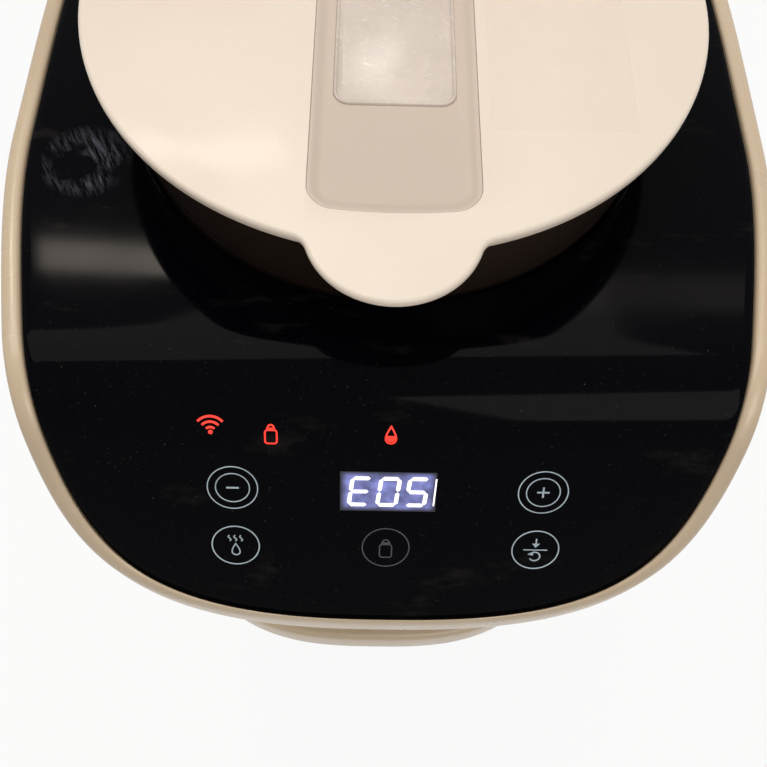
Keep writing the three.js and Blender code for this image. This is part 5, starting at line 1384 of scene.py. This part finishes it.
# %% [markdown]
# ## Everything else: inner pieces
#
# Behind the shells sit the gears, the wheel, the pump, the heater, boards and hoses. They are
# seen when the powder house or the tank is lifted out. The CAD already has their form, so
# `refined` copies it, merges its loose corners, rounds the hard edges and shades it smooth.

# %% Inner pieces
def refined(node, width):
    """A copy of a CAD mesh with merged corners and softly rounded edges."""
    bm = bmesh.new()
    bm.from_mesh(frame["nodes"][node].data)
    bm.transform(frame["nodes"][node].matrix_world)
    bmesh.ops.remove_doubles(bm, verts=bm.verts, dist=1e-6)
    bmesh.ops.dissolve_limit(bm, angle_limit=0.01, verts=bm.verts, edges=bm.edges)
    hard = [e for e in bm.edges if len(e.link_faces) == 2 and e.calc_face_angle(0.0) > 0.6]
    bmesh.ops.bevel(
        bm, geom=hard, offset=width * MM, segments=2, profile=0.6, affect="EDGES", clamp_overlap=True
    )
    return finish_mesh(bm, node, 40.0)


SLOT_OF = {row["node"]: row["material_slot"] for row in frame["record"]["subparts"]}
dressed = [o.name for o in bpy.data.objects if o.name.endswith("_visual")]
done = {"top_panel"} | {name.removesuffix("_visual") for name in dressed}
FINISHES = {
    "cream_shell": cream, "cream_rim": cream_rim, "lid_white": lid_white, "grey_plastic": insert_grey,
    "clear_plastic": clear_plastic, "black_gloss": black_parts, "smoke_plastic": smoke_plastic,
    "dark_plastic": dark_plastic, "white_plastic": white_plastic, "grey_rubber": rubber, "motor_steel": steel,
    "pin_steel": pin_steel, "silicone_hose": hose_plastic, "board_green": board,
}
rounding = {"drive_gear": 0.12, "motor_pinion": 0.1, "valve_spring": 0.05, "hose_dock_pump": 0.05}
for node in BODY_OF:
    if node not in done:
        low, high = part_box(node)
        thin = min(h - l for l, h in zip(low, high)) / MM
        width = rounding.get(node, min(0.5, 0.1 * thin))
        place(refined(node, width), node, FINISHES[SLOT_OF[node]], SLOT_OF[node])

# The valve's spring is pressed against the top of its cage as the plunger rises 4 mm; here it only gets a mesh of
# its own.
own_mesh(bpy.data.objects["valve_spring_visual"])

# %% [markdown]
# ## Marks on the touch panel
#
# The marks are thin prints on the slope. They are drawn flat, x to the right and u up the
# slope from the lowest row of keys, and `on_panel` lays each point on the surface, following
# the bend where a mark reaches it. Every line is a thin closed ribbon: `ribbon` widens a path
# and `patch` fills an outline. Signs and pictograms stand for what each key does.

# %% Marks: drawing tools
SLOPE_END_U = (KEY_Y - (SLOPE_CORNER - BEND_RADIUS * math.tan(SLOPE / 2) + BEND_RADIUS * math.sin(SLOPE)))
SLOPE_END_U /= math.cos(SLOPE)


def on_panel(points, lift):
    """Places on the panel surface for points (x, u), moved off it by lift."""
    points = np.asarray(points, float)
    x, u = points[:, 0], points[:, 1]
    base_z = float(top_height(-KEY_Y))
    flat_y, flat_z = -KEY_Y + u * math.cos(SLOPE), base_z + u * math.sin(SLOPE)
    turn = SLOPE - np.clip(u - SLOPE_END_U, 0, None) / BEND_RADIUS
    bend_y = -(SLOPE_CORNER - BEND_RADIUS * math.tan(SLOPE / 2)) - BEND_RADIUS * np.sin(turn)
    bend_z = PANEL_TOP - BEND_RADIUS + BEND_RADIUS * np.cos(turn)
    over = u > SLOPE_END_U
    y, z = np.where(over, bend_y, flat_y), np.where(over, bend_z, flat_z)
    return np.column_stack([x, y - lift * np.sin(turn), z + lift * np.cos(turn)])


class Print:
    """A set of thin closed ribbons and patches that becomes one piece."""

    def __init__(self, low=-0.03, high=0.06):
        self.bm, self.low, self.high = bmesh.new(), low, high

    def close(self, left, right, loop):
        """Join two edges of a ribbon above and below, with walls between."""
        corners = ((left, self.high), (right, self.high), (right, self.low), (left, self.low))
        rows = [on_panel(points, lift) for points, lift in corners]
        grid = [[self.bm.verts.new(p * MM) for p in row] for row in rows]
        count = len(grid[0])
        for i in range(count if loop else count - 1):
            k = (i + 1) % count
            for a, b in ((0, 1), (1, 2), (2, 3), (3, 0)):
                self.bm.faces.new((grid[a][i], grid[a][k], grid[b][k], grid[b][i]))
        if not loop:
            self.bm.faces.new([row[0] for row in grid])
            self.bm.faces.new([row[-1] for row in reversed(grid)])

    def ribbon(self, path, width=0.35, loop=False):
        path = np.asarray(path, float)
        if loop:
            ahead = np.roll(path, -1, axis=0) - np.roll(path, 1, axis=0)
        else:
            ahead = np.gradient(path, axis=0)
        ahead /= np.linalg.norm(ahead, axis=1)[:, None]
        normal = np.column_stack([-ahead[:, 1], ahead[:, 0]])
        self.close(path + normal * width / 2, path - normal * width / 2, loop)

    def ring(self, x, u, radius, width=0.32, squash=1.0):
        turns = np.linspace(0, 2 * np.pi, 64, endpoint=False)
        path = np.column_stack([x + radius * np.cos(turns), u + squash * radius * np.sin(turns)])
        self.ribbon(path, width, loop=True)

    def arc(self, x, u, radius, start, stop, width=0.35):
        self.ribbon(arc_points(x, u, radius, start, stop, 24), width)

    def line(self, *points, width=0.35):
        self.ribbon(points, width)

    def patch(self, outline_points):
        """Fill an outline that is seen whole from its middle."""
        points = np.asarray(outline_points, float)
        rim = [[self.bm.verts.new(p * MM) for p in on_panel(points, lift)] for lift in (self.high, self.low)]
        middle = [
            self.bm.verts.new(on_panel(points.mean(axis=0)[None], lift)[0] * MM) for lift in (self.high, self.low)
        ]
        for i in range(len(points)):
            k = (i + 1) % len(points)
            self.bm.faces.new((rim[0][i], rim[0][k], middle[0]))
            self.bm.faces.new((rim[1][k], rim[1][i], middle[1]))
            self.bm.faces.new((rim[0][k], rim[0][i], rim[1][i], rim[1][k]))

    def drop(self, x, u, size, width=0.35, fill=0.0):
        """A water drop; fill is the share of its height that is solid."""
        turns = np.linspace(0, 2 * np.pi, 49)[:-1]
        path = np.column_stack([
            x + 0.78 * size * np.sin(turns) * np.sin(turns / 2) ** 1.4, u + size * np.cos(turns)
        ])
        self.ribbon(path, width, loop=True)
        if fill:
            solid = path[path[:, 1] < u - size + 2 * size * fill]
            self.patch([x, u] + (solid - [x, u]) * 0.82)

    def bottle(self, x, u, width, height, line=0.35):
        half, neck = width / 2, width * 0.26
        low, shoulder, top = u - height / 2, u + height * 0.2, u + height * 0.32
        body = rounded_plan(x - half, x + half, low, shoulder, half * 0.45, 5)
        self.ribbon(body, line, loop=True)
        cap = rounded_plan(x - neck * 1.5, x + neck * 1.5, shoulder + line * 0.6, top, 0.2, 3)
        self.patch(cap)
        self.arc(x, top, neck, 0, 180, line)

    def piece(self, name, material, slot, sharp=40.0):
        made = finish_mesh(self.bm, name, sharp)
        made.data.materials.append(material)
        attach(made, "machine")
        return measure(made)


print("the slope ends", round(SLOPE_END_U, 1), "mm above the lowest keys")

# %% [markdown]
# ## Materials of the marks
#
# The rings and signs are pale prints lit a little from behind, so they glow faintly and not
# evenly. The print of the middle key, whose light is off, has a fainter painted glow. The
# status pictures are red lights. The digits are a bright blue-white display whose light spills
# over a soft-edged window behind them.

# %% Lit materials
def lit(name, colour, strength, dark, uneven=0.35, scale=160.0):
    paint = Paint(name, Roughness=0.4)
    level = paint.spread(paint.noise(scale, 2.0), 1.0 - uneven, 1.0, 0.35, 0.6)
    paint.feed(
        Base_Color=paint.blend(level, dark, colour), Emission_Color=paint.blend(level, dark, colour),
        Emission_Strength=strength,
    )
    return paint.material


ring_light = lit("ring_light", srgb(160, 174, 184), 0.42, srgb(96, 106, 114))
# The middle key's light is off; its ring and bottle still get a faint painted glow.
dim_print = lit("dim_print", srgb(66, 68, 74), 0.12, srgb(40, 41, 46))
red_light = lit("red_light", srgb(255, 58, 44), 0.95, srgb(205, 26, 18))
digit_light = lit("digit_light", srgb(255, 250, 240), 1.25, srgb(214, 216, 255), 0.5, 220.0)


def make_glow():
    """A display window that glows blue-white and fades out at its edges."""
    paint = Paint("display_glow", Roughness=0.3)
    x, y, _ = paint.axes(paint.mapped(scale=(1000, 1000, 1000)))
    u = (y + KEY_Y) * (1 / math.cos(SLOPE))
    fade = paint.spread(abs(x - 0.5), 1.0, 0.0, 11.2, 13.0) * paint.spread(abs(u - 19.0), 1.0, 0.0, 4.9, 6.3)
    cloud = paint.spread(paint.noise(260.0, 3.0), 0.35, 1.0, 0.35, 0.68)
    share = fade * cloud
    colour = paint.blend(share, srgb(10, 10, 22), srgb(150, 156, 236))
    paint.feed(Base_Color=srgb(12, 12, 20), Emission_Color=colour, Emission_Strength=0.85)
    return paint.material


glow = make_glow()
print("lit materials ready")

# %% [markdown]
# ## Printing the marks
#
# Four key rings carry plain signs: minus and plus on the upper row, a warm drop on the left
# and a return arrow on the right of the lower row, with a bottle on the middle key, whose
# light is off. Above them stand a signal, a bottle and a drop in red, and the digits.

# %% Key rings and signs
UPPER_KEYS, LOWER_KEYS = ((-41.7, 19.5), (42.8, 19.6)), ((-41.8, 0.0), (42.6, 0.0))


def make_key_print():
    made = Print()
    for x, u in UPPER_KEYS:
        made.ring(x, u, 6.8, 0.3)
        made.ring(x, u, 4.6, 0.3)
        made.line((x - 1.7, u), (x + 1.7, u), width=0.5)
    x, u = UPPER_KEYS[1]
    made.line((x, u + 0.25), (x, u + 1.7), width=0.5)
    made.line((x, u - 1.7), (x, u - 0.25), width=0.5)
    for x, u in LOWER_KEYS:
        made.ring(x, u, 6.6, 0.34)
    x, u = LOWER_KEYS[0]
    made.drop(x, u - 1.3, 2.0, 0.36)
    for shift in (-1.6, 0.0, 1.6):
        waves = np.linspace(0, 1, 13)
        sway = x + shift + 0.35 * np.sin(waves * 2 * np.pi)
        made.ribbon(np.column_stack([sway, u + 1.5 + 2.0 * waves]), 0.36)
    x, u = LOWER_KEYS[1]
    made.line((x - 3.4, u), (x + 3.4, u), width=0.32)
    made.line((x, u + 3.9), (x, u + 1.6), width=0.4)
    made.patch([(x - 1.1, u + 2.2), (x, u + 0.8), (x + 1.1, u + 2.2)])
    made.arc(x, u - 2.3, 1.5, -150, 130, 0.4)
    made.patch([(x - 2.1, u - 1.6), (x - 0.4, u - 0.5), (x - 0.5, u - 2.0)])
    return made.piece("key_print", ring_light, "white_plastic")


make_key_print()


def make_dim_print():
    made = Print()
    made.ring(0.3, 0.0, 6.6, 0.34)
    made.bottle(0.3, -0.2, 3.4, 6.4, 0.36)
    return made.piece("milk_key_print", dim_print, "grey_plastic")


make_dim_print()

# %% Status lights
def make_status_print():
    made = Print()
    for radius in (1.4, 2.9, 4.4):
        made.arc(-46.6, 36.9, radius, 42, 138, 0.62)
    made.ring(-46.6, 36.9, 0.35, 0.5)
    made.bottle(-30.8, 36.6, 3.1, 5.6, 0.45)
    made.drop(0.8, 36.9, 2.5, 0.45, fill=0.5)
    return made.piece("status_print", red_light, "grey_plastic")


make_status_print()

# %% [markdown]
# ## The digits
#
# Each digit is seven slanted hexagons, some of them lit, as on the common display module. The
# glow behind them is one patch that follows the slope.

# %% Display
SEGMENTS = {"E": "adefg", "0": "abcdef", "5": "acdfg"}


def make_digits():
    made = Print(0.02, 0.11)
    half, tall, thick, slant = 2.5, 4.3, 0.55, 0.12
    places = {
        "a": (0, tall, False), "g": (0, 0, False), "d": (0, -tall, False), "f": (-half, tall / 2, True),
        "b": (half, tall / 2, True), "e": (-half, -tall / 2, True), "c": (half, -tall / 2, True),
    }
    for centre, sign in zip((-7.2, 0.6, 8.4), "E05"):
        for segment in SEGMENTS[sign]:
            across, up, upright = places[segment]
            reach = (tall / 2 if upright else half) - 0.15
            shape = np.array([
                (-reach, 0), (-reach + thick, thick), (reach - thick, thick),
                (reach, 0), (reach - thick, -thick), (-reach + thick, -thick),
            ])
            shape = shape[:, ::-1] if upright else shape
            shape = shape + [across, up]
            made.patch(np.column_stack([centre + shape[:, 0] + slant * shape[:, 1], 19.0 + shape[:, 1]]))
    made.line((13.0, 14.6), (13.5, 23.4), width=0.4)
    return made.piece("display_digits", digit_light, "white_plastic")


make_digits()


def make_glow_patch():
    made = Print(-0.03, 0.02)
    across = np.linspace(-12.6, 13.6, 14)
    made.close(
        np.column_stack([across, np.full(14, 25.4)]), np.column_stack([across, np.full(14, 12.6)]), False
    )
    return made.piece("display_glow", glow, "black_gloss")


make_glow_patch()

# %% [markdown]
# ## The black panel's material
#
# A hard glossy coat over deep black with a trace of violet. It has seen use: hairline
# scratches in two directions, wiped patches where the gloss is duller, and specks of powder
# dust that the lamp picks out near the powder house. One patch of wiping marks on the left is
# also painted pale blue-grey: a painted glint of light caught in the smears.

# %% Panel material
def make_panel_black():
    """Black gloss with hairline scratches, dust and, on the left, wiping marks with a painted glint of light."""
    paint = Paint("panel_black")
    fine = paint.noise(90.0, 5.0, 0.7, paint.mapped(scale=(14.0, 0.8, 1.0), turn=(0, 0, 0.6)))
    cross = paint.noise(110.0, 5.0, 0.7, paint.mapped(scale=(0.9, 13.0, 1.0), turn=(0, 0, -0.35)))
    wiped = paint.noise(11.0, 4.0, 0.6)
    smear = paint.noise(30.0, 5.0, 0.65, paint.mapped(scale=(1, 3, 1), turn=(0, 0, 0.9)))
    smear = paint.spread(smear, 0, 1, 0.6, 0.8)
    dust = paint.spread(paint.noise(1500.0, 2.0, 0.8), 0.0, 1.0, 0.7, 0.77)
    hair = paint.spread(fine, 0.0, 1.0, 0.66, 0.78) + paint.spread(cross, 0.0, 1.0, 0.68, 0.8)
    # A patch of wiping marks on the left: duller gloss, and a pale blue-grey painted glint of light.
    x, y, _ = paint.axes(paint.mapped(shift=(0.0885, 0.0335, 0.0)))
    across, along = (x * 0.9 + y * 0.44) * 9.0, (x * 0.44 - y * 0.9) * 1.3
    where = paint.node("ShaderNodeCombineXYZ", {}, {0: across.socket, 1: along.socket}).outputs[0]
    patches = paint.spread(paint.noise(75.0), 0, 1, 0.42, 0.55)
    near = paint.spread(x * x + y * y, 1.0, 0.0, 0.00001, 0.00019) * patches
    wipe_and_glint = paint.spread(paint.noise(70.0, 5.0, 0.7, where), 0.0, 1.0, 0.46, 0.72) * near
    roughness = paint.spread(wiped, 0.04, 0.1, 0.35, 0.7) + hair * 0.12 + dust * 0.4
    roughness = roughness + smear * 0.12 + wipe_and_glint * 0.2
    colour = paint.blend(dust * 0.4 + hair * 0.03 + smear * 0.05, srgb(3, 3, 7), srgb(150, 140, 128))
    # Painted glint: the wiping marks are coloured pale blue-grey as if they caught the light.
    colour = paint.blend(wipe_and_glint * 0.5, colour, srgb(180, 180, 202))
    slow = paint.bump(paint.noise(7.0, 1.0), 0.05, 0.004)
    normal = paint.bump(hair * 0.5 + paint.noise(3200.0, 1.0) * 0.1, 0.06, 0.0001, slow)
    paint.feed(Base_Color=colour, Roughness=roughness, Normal=normal, IOR=1.1)
    return paint.material


panel_black = make_panel_black()
print("panel material ready")

# %% [markdown]
# ## Camera, floor and light
#
# The camera stands over the front edge and looks down at the lid, a little to the left of the
# middle. Its place was solved from the round lid and the touch marks. The floor and the room
# are white to the camera, in glass and in gloss, while the light they give stays soft, and a
# share of the floor's own shading is kept, so that the machine stands in its shadow.

# %% Camera
def make_camera():
    pitch, yaw, roll = 1.10664, 0.038546, -0.053393
    ahead = Vector((math.sin(yaw) * math.cos(pitch), math.cos(yaw) * math.cos(pitch), -math.sin(pitch)))
    right = Vector((math.cos(yaw), -math.sin(yaw), 0.0))
    down = ahead.cross(right)
    across = right * math.cos(roll) + down * math.sin(roll)
    below = down * math.cos(roll) - right * math.sin(roll)
    camera = bpy.data.objects.new("camera", bpy.data.cameras.new("camera"))
    bpy.context.scene.collection.objects.link(camera)
    turn = Matrix((across, -below, -ahead)).transposed()
    camera.matrix_world = Matrix.Translation((-0.00561, -0.20924, 0.49654)) @ turn.to_4x4()
    camera.data.sensor_width, camera.data.lens = 36.0, 42.93
    camera.data.clip_start = 0.01
    bpy.context.scene.camera = camera
    return camera


camera = make_camera()
print("camera at", [round(v, 4) for v in camera.location])

# %% Floor and background
def seen_directly(paint):
    """1 for rays that show the background itself: to the camera, in gloss and through glass."""
    path = paint.node("ShaderNodeLightPath", {}, {})
    rays = [Value(paint, path.outputs[f"Is {kind} Ray"]) for kind in ("Camera", "Glossy", "Transmission")]
    return rays[0].maths("MAXIMUM", rays[0].maths("MAXIMUM", rays[0], rays[1]), rays[2])


def make_floor():
    bm = bmesh.new()
    bmesh.ops.create_grid(bm, x_segments=8, y_segments=8, size=1.6)
    floor = finish_mesh(bm, "floor")
    paint = Paint("table_top", Roughness=0.7)
    paint.feed(Base_Color=paint.blend(paint.noise(3.0), srgb(236, 234, 231), srgb(228, 226, 223)))
    white = paint.node("ShaderNodeEmission", {}, {"Color": (1, 1, 1, 1), "Strength": 1.0})
    share = seen_directly(paint) * 0.92
    mix = paint.node("ShaderNodeMixShader", {}, {0: share, 1: paint.shader.outputs[0], 2: white.outputs[0]})
    paint.tree.links.new(mix.outputs[0], paint.output.inputs["Surface"])
    floor.data.materials.append(paint.material)
    return floor


floor = make_floor()


def make_world():
    world = bpy.data.worlds.new("studio")
    bpy.context.scene.world = world
    world.use_nodes = True
    room = Tree()
    room.tree = world.node_tree
    room.tree.nodes.clear()
    white = room.node("ShaderNodeBackground", {}, {"Color": (1, 1, 1, 1), "Strength": 1.0})
    soft = room.node("ShaderNodeBackground", {}, {"Color": (1.0, 0.94, 0.87, 1), "Strength": 0.26})
    mix = room.node("ShaderNodeMixShader", {}, {
        0: seen_directly(room), 1: soft.outputs[0], 2: white.outputs[0],
    })
    room.node("ShaderNodeOutputWorld", {}, {"Surface": mix.outputs[0]})


make_world()
bpy.context.scene.view_settings.view_transform = "Standard"


def lamp(name, place, target, size, power, colour=(1.0, 0.97, 0.93), roll=0.0):
    """A soft rectangular lamp that looks at a point, turned about its own axis."""
    light = bpy.data.lights.new(name, "AREA")
    light.shape, light.size, light.size_y = "RECTANGLE", *size
    light.energy, light.color = power, colour
    made = bpy.data.objects.new(name, light)
    bpy.context.scene.collection.objects.link(made)
    made.location = place
    aim = (Vector(target) - Vector(place)).to_track_quat("-Z", "Y")
    made.rotation_euler = (aim @ Quaternion((0, 0, 1), roll)).to_euler()
    return made


lamp("overhead", (-0.15, 0.35, 1.6), (0, 0, 0.28), (1.4, 0.7), 9.0)
lamp("left_window", (-1.2, -0.1, 1.0), (0, 0, 0.28), (0.4, 0.8), 0.6)
lamp("front_fill", (0.5, -0.9, 1.3), (0, -0.05, 0.15), (0.8, 0.6), 5.4)
lamp("ceiling_strip", (-0.42, 0.69, 1.41), (-0.08, -0.07, 0.286), (0.3, 0.05), 1.7, (1.0, 0.88, 0.76), -0.38)
lamp("window_spot", (0.0, 0.93, 1.2), (-0.004, -0.019, 0.32), (0.04, 0.03), 0.07)
lamp("far_strip", (0.46, 0.65, 1.42), (0.07, -0.075, 0.286), (0.4, 0.06), 0.25, (1.0, 0.88, 0.76), 0.42)

# %% [markdown]
# ## Finish
# The last step gives the touch panel its black finish, lets it ride on its body and prints its size.
# The last step puts the sizes beside those of the CAD and hands the scene over.

# %% Finish
top_panel = place(top_panel, "top_panel", panel_black, "black_gloss")
